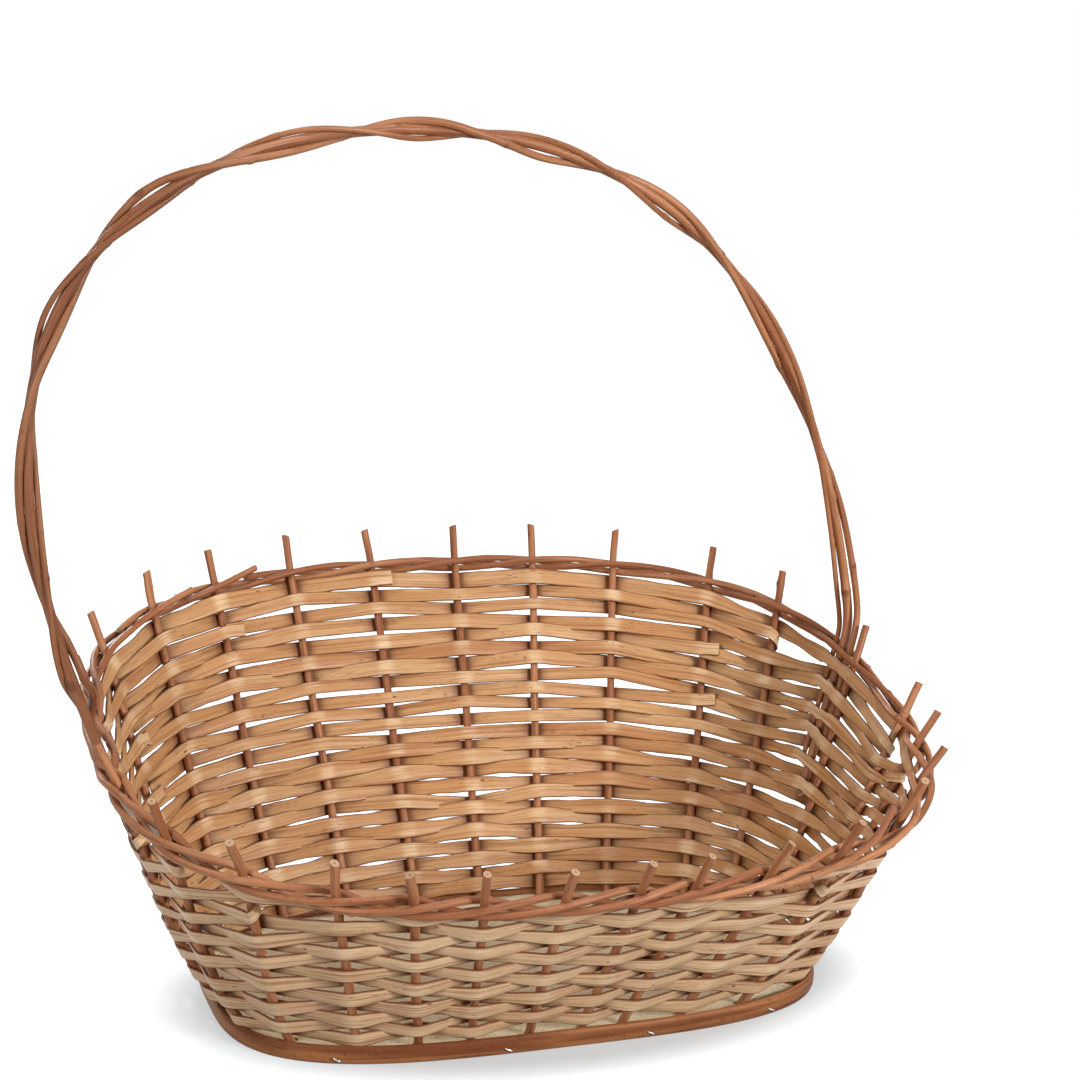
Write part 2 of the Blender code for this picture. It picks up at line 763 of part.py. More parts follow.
class Bow:
    """Centre line of the thick rod, with the directions in which the other rods lie."""

    def __init__(self):
        left = foot_of_bow(LEFT_CORE, -FOOT_RISE)
        right = foot_of_bow(RIGHT_CORE, -FOOT_RISE)
        span = Vector((right.x - left.x, right.y - left.y, 0.0))
        self.chord = span.normalized()
        self.front = Vector((self.chord.y, -self.chord.x, 0.0))
        upright = Vector((0.0, 0.0, 1.0))
        left_up = (left - foot_of_bow(LEFT_CORE, 0.0)).normalized()
        left_up = (left_up + self.chord * FOOT_LEAN_LEFT).normalized()
        right_up = (upright + self.chord * FOOT_LEAN_RIGHT).normalized()
        crown = (left + right) / 2.0 + self.chord * CROWN_SHIFT
        crown.z = CROWN_HEIGHT
        steps = [step / ARCH_STEPS for step in range(ARCH_STEPS + 1)]
        rise = [bezier(left, left + left_up * FOOT_REACH_LEFT, crown - self.chord * CROWN_REACH_LEFT,
                       crown, step) for step in steps]
        fall = [bezier(crown, crown + self.chord * CROWN_REACH_RIGHT,
                       right + right_up * FOOT_REACH_RIGHT, right, step) for step in steps]
        self.arch = rise + fall[1:]
        self.length = sum((b - a).length for a, b in zip(self.arch, self.arch[1:]))

    def centre_line(self, depth):
        """Points of the thick rod's line, from inside one wall to inside the other."""
        left = foot_of_bow(LEFT_CORE, depth)
        right = foot_of_bow(RIGHT_CORE, depth)
        line = evenly_spaced([left] + self.arch + [right], BOW_STEP)
        relaxed = [line[0]]
        relaxed += [(a + b * 2.0 + c) / 4.0 for a, b, c in zip(line, line[1:], line[2:])]
        return relaxed + [line[-1]]

    def half_turns(self, travel):
        """Half turns of the wrapping at a distance from the left end of the bow."""
        share = min(1.0, max(0.0, travel / self.length))
        for count, (start, end) in enumerate(zip(BOW_CROSSINGS, BOW_CROSSINGS[1:])):
            if share <= end:
                return count + (share - start) / (end - start)
        return len(BOW_CROSSINGS) - 1.0

    def settle(self, travel):
        """How far the wrapping has closed up: 0 inside the walls, 1 along the bow."""
        return (smoothstep(travel / BOW_SETTLE_LEFT)
                * smoothstep((self.length - travel) / BOW_SETTLE_RIGHT))


def wrap_points(bow, number):
    """Line of a rod that wraps the thick one and lies beside it inside the walls."""
    depth = WRAP_DEPTHS[number]
    line = bow.centre_line(depth)
    closed = CORE_RADIUS + WRAP_RADII[number] + CLEARANCE
    left_reach = WRAP_REACH[1] if number else LEFT_OUTER_REACH
    points = []
    travel = -depth - FOOT_RISE
    for index, point in enumerate(line):
        before, after = line[max(0, index - 1)], line[min(len(line) - 1, index + 1)]
        if index:
            travel += (point - line[index - 1]).length
        tangent = (after - before).normalized()
        wall_angle = LEFT_CORE.rim_angle if travel < bow.length / 2.0 else RIGHT_CORE.rim_angle
        along, _, _ = wall_axes(wall_angle, wall_length(wall_angle))
        towards_front = along if travel < bow.length / 2.0 else -along
        blend = bow.settle(travel)
        front = towards_front.lerp(bow.front, blend)
        front = (front - tangent * front.dot(tangent)).normalized()
        outer = front.cross(tangent)
        open_reach = left_reach if travel < bow.length / 2.0 else WRAP_REACH[number]
        reach = open_reach + (closed - open_reach) * blend
        turn = math.pi * (bow.half_turns(travel) + number)
        if travel < bow.length / 2.0:
            turn = LEFT_FOOT_TURN + (turn - LEFT_FOOT_TURN) * blend
        points.append(point + front * math.cos(turn) * reach - outer * math.sin(turn) * reach)
    return points


def add_bow():
    bow = Bow()
    add_rod("handle_core", bow.centre_line(CORE_DEPTH), CORE_RADIUS,
            finish("handle_core", STEAMED_ROD, 0.5), 2)
    for number, radius in enumerate(WRAP_RADII):
        name = f"handle_wrap_{number + 1}"
        add_rod(name, wrap_points(bow, number), radius, finish(name, STEAMED_ROD, 0.5))


def main():
    clear_scene()
    leg_cutter = add_leg_cutter()
    add_board(leg_cutter)
    add_band(leg_cutter)
    add_staples()
    add_stakes()
    add_weave()
    add_rim()
    add_bow()


main()
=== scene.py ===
"""Dresses the oval willow basket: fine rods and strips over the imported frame, finishes and studio.

Lengths are in metres and angles in radians.  Every piece follows the same wall as the frame: a
line per stake leans from the foot to the sloping rim, and strips and rods are placed on it.
"""

from __future__ import annotations

import logging
import math
import random
from dataclasses import dataclass, replace
from enum import Enum
from typing import Callable, Iterable, Sequence

import bpy
import numpy as np
from bpy.types import Material, Mesh, Node, NodeTree, Object
from bpy.types import NodeSocket as Socket
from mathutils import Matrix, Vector

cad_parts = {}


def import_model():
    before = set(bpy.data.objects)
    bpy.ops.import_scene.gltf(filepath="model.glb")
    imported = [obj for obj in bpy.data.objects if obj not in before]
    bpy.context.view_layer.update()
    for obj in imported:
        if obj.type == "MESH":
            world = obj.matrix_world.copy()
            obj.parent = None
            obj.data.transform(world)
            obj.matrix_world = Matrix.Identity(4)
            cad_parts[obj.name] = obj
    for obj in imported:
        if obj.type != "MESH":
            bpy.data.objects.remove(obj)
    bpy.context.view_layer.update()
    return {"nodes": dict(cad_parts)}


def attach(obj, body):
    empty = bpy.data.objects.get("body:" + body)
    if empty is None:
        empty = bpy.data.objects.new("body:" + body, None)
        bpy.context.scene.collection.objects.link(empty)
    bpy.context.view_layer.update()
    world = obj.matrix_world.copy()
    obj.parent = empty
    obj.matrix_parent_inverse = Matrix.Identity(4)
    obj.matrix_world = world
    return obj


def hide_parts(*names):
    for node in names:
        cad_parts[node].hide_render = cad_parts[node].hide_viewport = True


LOG = logging.getLogger("basket")
BODY = "root"

TURN = 2.0 * math.pi
SMALL_ANGLE = math.radians(0.5)
TINY = 1e-6
UNLIMITED = 1000.0  # a share of a leg's length that never limits how a corner is rounded
CONTACT = 0.0003  # gap between a piece and what it rests on

GRAIN = "grain"  # stored place on a piece: along the grain, and two distances across it
AROUND = "around"  # place round a section; a knot's bud, or the painted light and shade at a stake

Colour = Place = tuple[float, float, float]


class Slot(Enum):
    """Material slots of the record."""

    BOARD = "board"
    BAND = "band"
    STAKE = "stake"
    STRIP = "strip"
    ROD = "rod"
    STAPLE = "staple_wire"


# ---- paths


def catmull_rom(points: Sequence[Vector], step: float) -> list[Vector]:
    """Smooth curve through points.

    Args:
        points: Points that the curve passes, at least two.
        step: Distance between the points of the result, at most.

    Returns:
        Points along a centripetal Catmull-Rom curve.
    """
    padded = [points[0] * 2.0 - points[1], *points, points[-1] * 2.0 - points[-2]]
    smooth = []
    for p0, p1, p2, p3 in zip(padded, padded[1:], padded[2:], padded[3:]):
        knots = [0.0]
        for before, after in ((p0, p1), (p1, p2), (p2, p3)):
            knots.append(knots[-1] + max(TINY, (after - before).length) ** 0.5)
        t0, t1, t2, t3 = knots
        count = max(1, math.ceil((p2 - p1).length / step))
        for index in range(count):
            t = t1 + (t2 - t1) * index / count
            a1 = p0.lerp(p1, (t - t0) / (t1 - t0))
            a2 = p1.lerp(p2, (t - t1) / (t2 - t1))
            a3 = p2.lerp(p3, (t - t2) / (t3 - t2))
            b1 = a1.lerp(a2, (t - t0) / (t2 - t0))
            b2 = a2.lerp(a3, (t - t1) / (t3 - t1))
            smooth.append(b1.lerp(b2, (t - t1) / (t2 - t1)))
    smooth.append(points[-1].copy())
    return smooth


def travelled(points: Sequence[Vector]) -> list[float]:
    """Distance gone at each point of a polyline.

    Args:
        points: Points of the line.

    Returns:
        Distances from the first point, one per point.
    """
    lengths = [0.0]
    for before, after in zip(points, points[1:]):
        lengths.append(lengths[-1] + (after - before).length)
    return lengths


def evenly_spaced(points: Sequence[Vector], step: float) -> list[Vector]:
    """Points at equal distances along a polyline.

    Args:
        points: Points of the line.
        step: Distance wanted between the new points.

    Returns:
        The new points, with the same ends.
    """
    lengths = travelled(points)
    count = max(2, round(lengths[-1] / step))
    spaced = []
    leg = 0
    for index in range(count + 1):
        target = lengths[-1] * index / count
        while leg < len(points) - 2 and lengths[leg + 1] < target:
            leg += 1
        share = (target - lengths[leg]) / (lengths[leg + 1] - lengths[leg])
        spaced.append(points[leg].lerp(points[leg + 1], min(1.0, share)))
    return spaced


def softened(points: Sequence[Vector], step: float, reach: float,
             leg_share: float = UNLIMITED) -> list[Vector]:
    """Even steps along straight runs, with the corners rounded.

    Args:
        points: Corners of the path.
        step: Distance between the new points.
        reach: How far each side of a corner the rounding starts, at most.
        leg_share: How far it starts at short legs, in shares of a leg's length.

    Returns:
        The new points, with the same ends.
    """
    dense = evenly_spaced(points, step)
    lengths = travelled(points)
    legs = list(zip(lengths, lengths[1:]))
    soft = []
    for index, point in enumerate(dense):
        place = lengths[-1] * index / (len(dense) - 1)
        near = min(max(start - place, place - end, 0.0) + leg_share * (end - start)
                   for start, end in legs)
        room = max(1, round(min(reach, near) / step))
        room = min(room, index, len(dense) - 1 - index)
        total = point * (room + 1.0)
        for away in range(1, room + 1):
            total += (dense[index - away] + dense[index + away]) * (room + 1.0 - away)
        soft.append(total / (room + 1.0) ** 2)
    return soft


def step_along(edge: Callable[[float], Vector], angle: float) -> Vector:
    """Step along an edge of the wall, from just before an angle to just after it."""
    return edge(angle + SMALL_ANGLE) - edge(angle - SMALL_ANGLE)


def smoothstep(share: float) -> float:
    """Smooth rise from 0 to 1."""
    share = min(1.0, max(0.0, share))
    return share * share * (3.0 - 2.0 * share)


# ---- wall


@dataclass(frozen=True)
class Wall:
    """The leaning wall that the stakes stand in."""

    BELLY_FACTOR = 6.75  # brings share * (1 - share) ** 2 to 1 at its highest

    foot_half_length: float = 0.163
    foot_half_width: float = 0.099
    foot_shift_y: float = -0.017
    foot_squareness: float = 3.3
    band_height: float = 0.0095
    band_thickness: float = 0.0035
    board_thickness: float = 0.006
    stake_from_band: float = 0.0008
    stake_radius: float = 0.0023
    rim_half_length: float = 0.220
    rim_half_width: float = 0.1655
    rim_squareness: float = 2.6
    rim_shift: tuple[float, float] = (0.005, 0.004)
    rim_height: float = 0.144
    rim_rise: float = 0.046
    fan: float = math.radians(10.5)
    belly: tuple[float, float] = (0.0085, 0.0060)
    stake_degrees: tuple[int, ...] = (158, 144, 132, 118, 102, 84, 68, 53, 37, 25, 7, -9, -16, -25,
                                      -35, -50, -63, -76, -86, -99, -112, -122, -132, -144, -156,
                                      -169, -190)

    @property
    def stakes(self) -> list[float]:
        """Angles of the stakes round the rim, clockwise seen from above."""
        return [math.radians(angle) for angle in self.stake_degrees]

    @staticmethod
    def oval(angle: float, half_length: float, half_width: float, squareness: float) -> Vector:
        """Point of a rounded oval in the direction of the angle.

        Args:
            angle: Direction from the middle.
            half_length: Reach along x.
            half_width: Reach along y.
            squareness: Exponent: 2 for an ellipse, more for fuller corners.

        Returns:
            The point, at a height of 0.
        """
        cosine, sine = math.cos(angle), math.sin(angle)
        stretch = abs(cosine / half_length) ** squareness + abs(sine / half_width) ** squareness
        return Vector((cosine, sine, 0.0)) * stretch ** (-1.0 / squareness)

    def outline(self, angle: float, inset: float) -> Vector:
        """Point of the foot's outline, moved in by an inset."""
        shape = (self.foot_half_length - inset, self.foot_half_width - inset, self.foot_squareness)
        return Vector((0.0, self.foot_shift_y, 0.0)) + self.oval(angle, *shape)

    def foot_angle(self, angle: float) -> float:
        """Angle round the foot of the wall line of a rim angle."""
        return angle - self.fan * math.sin(2.0 * angle)

    def rim(self, angle: float) -> Vector:
        """Where the wall line of a rim angle meets the rim line.

        Args:
            angle: Direction from the middle.

        Returns:
            The point.
        """
        point = self.oval(angle, self.rim_half_length, self.rim_half_width, self.rim_squareness)
        height = self.rim_height + self.rim_rise * point.y / self.rim_half_width
        return Vector((point.x + self.rim_shift[0], point.y + self.rim_shift[1], height))

    def bulge(self, angle: float, share: float) -> float:
        """How far the end walls belly out at a share of the way up.

        Args:
            angle: Angle of the wall line.
            share: Share of the way up it.

        Returns:
            Distance outwards.
        """
        if not 0.0 < share < 1.0:
            return 0.0
        end = math.cos(angle)
        most = self.belly[0] if end < 0.0 else self.belly[1]
        return most * end * end * self.BELLY_FACTOR * share * (1.0 - share) ** 2

    @property
    def inset(self) -> float:
        """Inset of the stakes at the foot, from which the most leaning one clears the band.

        Returns:
            Distance from the edge of the foot.
        """
        clear = self.band_thickness + self.stake_from_band + self.stake_radius
        insets = []
        for angle in self.stakes:
            edge = self.outline(self.foot_angle(angle), 0.0)
            top = self.rim(angle)
            spread = (top - edge).dot(edge.normalized())
            share = self.band_height / top.z
            insets.append((clear + share * spread) / (1.0 - share))
        return max(insets)


class WallPlan:
    """Places on the wall, with what is slow to find kept."""

    def __init__(self, wall: Wall) -> None:
        """Finds the inset once."""
        self.wall = wall
        self.inset = wall.inset

    def foot(self, angle: float) -> Vector:
        """Where the wall line of a rim angle meets the underside."""
        return self.wall.outline(self.wall.foot_angle(angle), self.inset)

    def length(self, angle: float) -> float:
        """Length of the wall line from the underside to the rim line."""
        return (self.wall.rim(angle) - self.foot(angle)).length

    def axes(self, angle: float, height: float) -> tuple[Vector, Vector, Vector]:
        """Unit vectors along the wall, up it and out of it.

        Args:
            angle: Angle of the wall line.
            height: Distance up it.

        Returns:
            The three vectors.
        """
        share = height / self.length(angle)
        rim = self.wall.rim
        up = (rim(angle) - self.foot(angle)).normalized()
        ahead = step_along(lambda at: self.foot(at).lerp(rim(at), share), angle)
        out = ahead.cross(up).normalized()
        return up.cross(out), up, out

    def place(self, angle: float, height: float, outwards: float = 0.0,
              sideways: float = 0.0) -> Vector:
        """Point at a height up the wall line, moved out of the wall and along it.

        Args:
            angle: Angle of the wall line.
            height: Distance up it.
            outwards: Distance out of the wall.
            sideways: Distance along the wall.

        Returns:
            The point.
        """
        along, up, out = self.axes(angle, height)
        outwards += self.wall.bulge(angle, height / self.length(angle))
        return self.foot(angle) + up * height + out * outwards + along * sideways

    @staticmethod
    def angle_after(edge: Callable[[float], Vector], angle: float, distance: float) -> float:
        """Angle reached from another by going a distance along an edge of the wall."""
        return angle + distance * 2.0 * SMALL_ANGLE / step_along(edge, angle).length


@dataclass(frozen=True)
class Line:
    """A line up the wall, from an angle at the foot to one at the rim, down to a lowest share."""

    rim_angle: float
    foot_angle: float
    lowest: float = 0.0

    def angle_at(self, share: float) -> float:
        """Angle of the line at a share of the way up."""
        return self.foot_angle + (self.rim_angle - self.foot_angle) * share


@dataclass(frozen=True)
class Post:
    """What a strip passes on one side: a stake, or rods of the bow pushed in beside one."""

    lines: tuple[Line, ...]
    radius: float
    main: Line

    def lines_at(self, share: float) -> list[Line]:
        """Lines that are there at a share of the way up."""
        return [line for line in self.lines if line is self.main or line.lowest <= share]

    @property
    def is_stake(self) -> bool:
        """Whether the post is one stake and nothing else."""
        return len(self.lines) == 1


@dataclass(frozen=True)
class BowSizes:
    """Sizes of the bow handle and of how its feet go into the wall."""

    crown_height: float = 0.445
    crown_shift: float = -0.055
    crown_reach: tuple[float, float] = (0.050, 0.1675)
    foot_reach: tuple[float, float] = (0.309, 0.169)
    lean: tuple[float, float] = (0.072, -0.166)
    foot_rise: float = 0.012
    core_radius: float = 0.0027
    wrap_radii: tuple[float, float] = (0.0020, 0.0015)
    wrap_space: float = 0.0018
    core_depth: float = 0.090
    wrap_depths: tuple[float, float] = (0.060, 0.070)
    left_from_stake: float = 0.022
    right_from_stake: float = 0.0155
    left_stake: int = 25
    right_stake: int = 10
    settle: tuple[float, float] = (0.035, 0.065)
    left_turn: float = math.pi
    crossings: tuple[float, ...] = (0.0, 0.08, 0.21, 0.29, 0.37, 0.46, 0.53, 0.62, 0.71, 0.84,
                                    1.0)
    pressed: float = 0.0002
    slack: float = 0.0011
    slack_pace: float = 0.7
    arch_steps: int = 24
    step: float = 0.010
    fine_step: float = 0.003

    @property
    def reaches(self) -> list[float]:
        """Distance of each wrapping rod from the thick one where they lie apart."""
        return [self.core_radius + radius + self.wrap_space for radius in self.wrap_radii]

    @property
    def left_outer_reach(self) -> float:
        """Distance of the farther wrapping rod at the left foot."""
        return self.reaches[1] + sum(self.wrap_radii) + self.wrap_space


class Posts:
    """The posts in weaving order, and the lines of the bow's feet."""

    def __init__(self, plan: WallPlan, bow: BowSizes, strip_width: float) -> None:
        """Sets the posts out.

        Args:
            plan: Places on the wall.
            bow: Sizes of the bow's feet.
            strip_width: Width of the strips that pass over them.
        """
        self.plan = plan
        stakes = plan.wall.stakes
        right_rim = plan.angle_after(plan.wall.rim, stakes[bow.right_stake], bow.right_from_stake)
        self.right_core = self.down_to(right_rim, right_rim, bow.core_depth + strip_width)
        left_rim = plan.angle_after(plan.wall.rim, stakes[bow.left_stake], -bow.left_from_stake)
        left_foot = (stakes[bow.left_stake] + stakes[bow.left_stake + 1]) / 2.0
        self.left_core = Line(left_rim, left_foot)
        self.all = [self.single(angle, plan.wall.stake_radius) for angle in stakes]
        right_far = self.beside(self.right_core, bow.reaches[1], bow.wrap_depths[1] + strip_width)
        stake = Line(stakes[bow.right_stake], stakes[bow.right_stake])
        lines = (right_far, self.right_core, stake)
        self.all[bow.right_stake] = Post(lines, bow.core_radius, stake)
        left_far = self.beside(self.left_core, -bow.left_outer_reach,
                               bow.wrap_depths[0] + strip_width)
        foot = Post((self.left_core, left_far), bow.core_radius, self.left_core)
        self.right_foot = bow.right_stake
        self.left_foot = bow.left_stake + 1
        self.all.insert(self.left_foot, foot)

    @staticmethod
    def single(angle: float, radius: float) -> Post:
        """Post of one stake."""
        line = Line(angle, angle)
        return Post((line,), radius, line)

    def down_to(self, rim_angle: float, foot_angle: float, depth: float) -> Line:
        """Line that ends at a depth below the rim."""
        return Line(rim_angle, foot_angle, 1.0 - depth / self.plan.length(rim_angle))

    def beside(self, line: Line, distance: float, depth: float) -> Line:
        """Line at an even distance from another, down to a depth.

        Args:
            line: The other line.
            distance: Distance along the wall.
            depth: How far below the rim it ends.

        Returns:
            The line.
        """
        rim_angle = self.plan.angle_after(self.plan.wall.rim, line.rim_angle, distance)
        foot_angle = self.plan.angle_after(self.plan.foot, line.foot_angle, distance)
        return self.down_to(rim_angle, foot_angle, depth)

    def __len__(self) -> int:
        """Number of posts."""
        return len(self.all)

    def __getitem__(self, index: int) -> Post:
        """Post of a number, which can go on past the last one."""
        return self.all[index % len(self.all)]


# ---- weave


@dataclass(frozen=True)
class Station:
    """One cross-section of a strip: its middle, its width direction, its room and its side."""

    middle: Vector
    rise: Vector
    room: float
    side: float


@dataclass(frozen=True)
class StripSizes:
    """Sizes of the flat strips and of how they lie in the wall."""

    width: float = 0.0072
    thickness: float = 0.0012
    pitch: float = 0.0076
    foot_ease: float = 0.0009
    contact: float = 0.0005
    short_pairs: int = 6
    short_row_room: float = 0.004
    upper_rows_give: float = 0.6
    upper_rows_spread: float = 0.28
    lap: float = 0.010
    rim_depth: float = 0.00855
    top_row_start: int = 4
    splice_shift: int = 5
    splice_room: float = math.radians(9.0)
    turn_steps: int = 8


class Weave:
    """Where every strip of the wall runs."""

    def __init__(self, plan: WallPlan, posts: Posts, sizes: StripSizes, bow: BowSizes) -> None:
        """Counts the rows.

        Args:
            plan: Places on the wall.
            posts: Posts that the strips pass.
            sizes: Sizes of the strips.
            bow: Sizes of the bow's feet.
        """
        self.plan = plan
        self.posts = posts
        self.sizes = sizes
        self.core_radius = bow.core_radius
        self.lower_rows = round(min(map(self.room, posts.all)) / sizes.pitch) - 1
        self.spans = self.short_spans()
        self.top_row = self.lower_rows + 2 * len(self.spans)

    def bottom(self, angle: float) -> float:
        """Height up the wall line at which a strip clears the foot.

        Args:
            angle: Angle of the wall line.

        Returns:
            Distance up the wall line.
        """
        _, up, out = self.plan.axes(angle, 0.0)
        outside = self.core_radius + self.sizes.thickness + self.sizes.foot_ease
        foot = max(self.plan.wall.band_height, self.plan.wall.board_thickness)
        return (foot + CONTACT - out.z * outside) / up.z

    def height(self, angle: float) -> float:
        """Room for the weave up the wall line."""
        return self.plan.length(angle) - self.sizes.rim_depth - CONTACT - self.bottom(angle)

    def room(self, post: Post) -> float:
        """Room for the weave at a post."""
        return self.height(post.main.rim_angle)

    def short_spans(self) -> list[tuple[int, int]]:
        """First and last post of each pair of short rows, longest pair first.

        Returns:
            The spans; the second post can have a number past the last one.
        """
        count = len(self.posts)
        rooms = [self.room(post) for post in self.posts.all]
        most = self.sizes.short_pairs
        longest = count - 2
        extra = [(room - min(rooms)) / self.sizes.short_row_room for room in rooms]
        pairs = [min(most, round(rows / 2.0)) for rows in extra]
        highest = rooms.index(max(rooms))
        spans = []
        for pair in range(1, most + 1):
            first = last = highest
            while pairs[(first - 1) % count] >= pair and last - first < longest:
                first -= 1
            while pairs[(last + 1) % count] >= pair and last - first < longest:
                last += 1
            while not self.posts[first].is_stake:
                first += 1
            while not self.posts[last].is_stake:
                last -= 1
            spans.append((first, last))
        return spans

    def rows_at(self, index: int) -> int:
        """Number of rows at a post."""
        over = [(index - first) % len(self.posts) <= last - first for first, last in self.spans]
        return self.lower_rows + 1 + 2 * sum(over)

    @staticmethod
    def side_of(row: int, index: int) -> int:
        """Plain weave: 1 where a row passes outside a post, and -1 where it passes inside."""
        return 1 if (row + index) % 2 == 0 else -1

    def crowding(self, index: int) -> float:
        """How far the upper rows close up at a post with tight rows, or open up at a high one.

        Args:
            index: Number of the post.

        Returns:
            More than 0 for closer rows, less for wider ones.
        """
        rows = self.rows_at(index)
        pitch = self.room(self.posts[index]) / rows
        tight = self.sizes.upper_rows_give * max(0.0, self.sizes.pitch / pitch - 1.0)
        return tight - self.sizes.upper_rows_spread * (1.0 - (self.lower_rows + 1) / rows)

    def share_up(self, index: int, rank: float) -> float:
        """Share of the wall line's length at which a strip rank rows up passes a post.

        Args:
            index: Number of the post.
            rank: Rows below the strip.

        Returns:
            The share.
        """
        angle = self.posts[index].main.rim_angle
        place = (rank + 0.5) / self.rows_at(index)
        place += self.crowding(index) * place * (1.0 - place)
        return (self.bottom(angle) + place * self.height(angle)) / self.plan.length(angle)

    def row_pitch(self, index: int, rank: float) -> float:
        """Distance up the wall line from a row to the next one at a post.

        Args:
            index: Number of the post.
            rank: Rows below it.

        Returns:
            The distance.
        """
        place = (rank + 0.5) / self.rows_at(index)
        pitch = self.room(self.posts[index]) / self.rows_at(index)
        return pitch * (1.0 + self.crowding(index) * (1.0 - 2.0 * place))

    def station(self, index: int, rank: float, line: Line, outwards: float,
                sideways: float = 0.0) -> Station:
        """Cross-section of the strip that is rank rows up at a post.

        Args:
            index: Number of the post.
            rank: Rows below the strip.
            line: Line of the post that the strip passes.
            outwards: Distance out of the wall.
            sideways: Distance along the wall.

        Returns:
            The cross-section.
        """
        share = self.share_up(index, rank)
        angle = line.angle_at(share)
        height = share * self.plan.length(angle)
        _, up, _ = self.plan.axes(angle, height)
        middle = self.plan.place(angle, height, outwards, sideways)
        side = max(-1.0, min(1.0, outwards / self.offset(self.posts[index])))
        return Station(middle, up, self.row_pitch(index, rank), side)

    def offset(self, post: Post) -> float:
        """Distance from a post's middle to the middle of a strip that passes it."""
        return post.radius + self.sizes.thickness / 2.0 + self.sizes.contact

    def pass_post(self, row: int, rank: float, index: int, order: int) -> list[Station]:
        """Stations of a strip that passes a post, clockwise or against it.

        Args:
            row: Number of the row, which sets the side.
            rank: Rows below the strip.
            index: Number of the post.
            order: 1 for clockwise, and -1 for back.

        Returns:
            The stations, in the order of the strip.
        """
        post = self.posts[index]
        outwards = self.side_of(row, index % len(self.posts)) * self.offset(post)
        share = self.share_up(index, rank)
        stations = [self.station(index, rank, line, outwards) for line in post.lines_at(share)]
        return stations if order > 0 else stations[::-1]

    def turn_round(self, index: int, rank: float, start_side: int,
                   clockwise: bool) -> list[Station]:
        """Stations of a strip that wraps a stake and comes back one row higher.

        Args:
            index: Number of the stake.
            rank: Rows below the strip.
            start_side: 1 if it comes from outside, and -1 from inside.
            clockwise: Whether it comes clockwise.

        Returns:
            The stations.
        """
        post = self.posts[index]
        reach = self.offset(post)
        beyond = -1.0 if clockwise else 1.0
        stations = []
        for step in range(self.sizes.turn_steps + 1):
            share = step / self.sizes.turn_steps
            swing = math.pi * (share - 0.5)
            outwards = start_side * -math.sin(swing) * reach
            sideways = beyond * math.cos(swing) * reach
            stations.append(self.station(index, rank + share, post.main, outwards, sideways))
        return stations

    def lap_end(self, index: int, rank: float) -> list[Station]:
        """Last stations of a strip, laid over its own start on the inside of a stake.

        Args:
            index: Number of the stake.
            rank: Rows below the strip.

        Returns:
            The stations.
        """
        post = self.posts[index]
        inwards = -(self.offset(post) + self.sizes.thickness + self.sizes.contact)
        return [self.station(index, rank, post.main, inwards),
                self.station(index, rank, post.main, inwards, -self.sizes.lap)]

    def splice_post(self, row: int, candidates: Sequence[int]) -> int:
        """Post where a row starts and ends, inside a stake with room on both sides.

        Args:
            row: Number of the row.
            candidates: Posts to try, the best one first.

        Returns:
            Number of the post.
        """
        for index in candidates:
            post = self.posts[index]
            own = post.main.rim_angle
            others = [self.posts[index + side].main.rim_angle for side in (-1, 1)]
            roomy = all(math.cos(angle - own) < math.cos(self.sizes.splice_room)
                        for angle in others)
            if post.is_stake and roomy and self.side_of(row, index) < 0:
                return index
        return candidates[0]

    def front_posts(self, row: int) -> list[int]:
        """Posts of the front wall, in the order that a row tries for its start.

        Args:
            row: Number of the row.

        Returns:
            Numbers of the posts.
        """
        first = self.posts.right_foot + 1
        count = self.posts.left_foot - 1 - first
        return [first + (self.sizes.splice_shift * row + step) % count for step in range(count)]

    def ring(self, row: int, rank_at: Callable[[int], float],
             start_posts: Sequence[int]) -> list[Station]:
        """Stations of a strip that goes once round the basket.

        Args:
            row: Number of the row, which sets the sides.
            rank_at: Rows below it at a post.
            start_posts: Posts where it may start, the best one first.

        Returns:
            The stations.
        """
        count = len(self.posts)
        start = self.splice_post(row, start_posts)
        stations = []
        for index in range(start, start + count):
            stations += self.pass_post(row, rank_at(index % count), index, 1)
        return stations + self.lap_end(start, rank_at(start % count))

    def short_pair(self, row: int, first: int, last: int) -> list[Station]:
        """Stations of a strip that makes a pair of short rows between two turns.

        Args:
            row: Number of the lower row.
            first: Post of one turn.
            last: Post of the other turn.

        Returns:
            The stations.
        """
        near_last = (row - self.lower_rows) // 2 % 2 == 0
        inner = range(last - 1, first + 1, -1) if near_last else range(first + 2, last)
        start = self.splice_post(row, inner)
        stations = []
        for index in range(start, last):
            stations += self.pass_post(row, row, index, 1)
        stations += self.turn_round(last, row, self.side_of(row, last), True)
        for index in range(last - 1, first, -1):
            stations += self.pass_post(row + 1, row + 1, index, -1)
        stations += self.turn_round(first, row, self.side_of(row, first), False)[::-1]
        for index in range(first + 1, start):
            stations += self.pass_post(row, row, index, 1)
        return stations + self.lap_end(start, row)

    def strips(self) -> Iterable[tuple[str, list[Station]]]:
        """Node name and stations of every strip.

        Returns:
            The names and stations, from the lowest strip up.
        """
        for row in range(self.lower_rows):
            stations = self.ring(row, lambda index, rank=row: rank, self.front_posts(row))
            yield f"weave_row_{row + 1:02d}", stations
        for pair, (first, last) in enumerate(self.spans):
            row = self.lower_rows + 2 * pair
            yield f"weave_short_pair_{pair + 1}", self.short_pair(row, first, last)
        start = self.sizes.top_row_start
        yield "weave_row_top", self.ring(self.top_row, lambda index: self.rows_at(index) - 1,
                                         range(start, start + len(self.posts)))


# ---- node trees


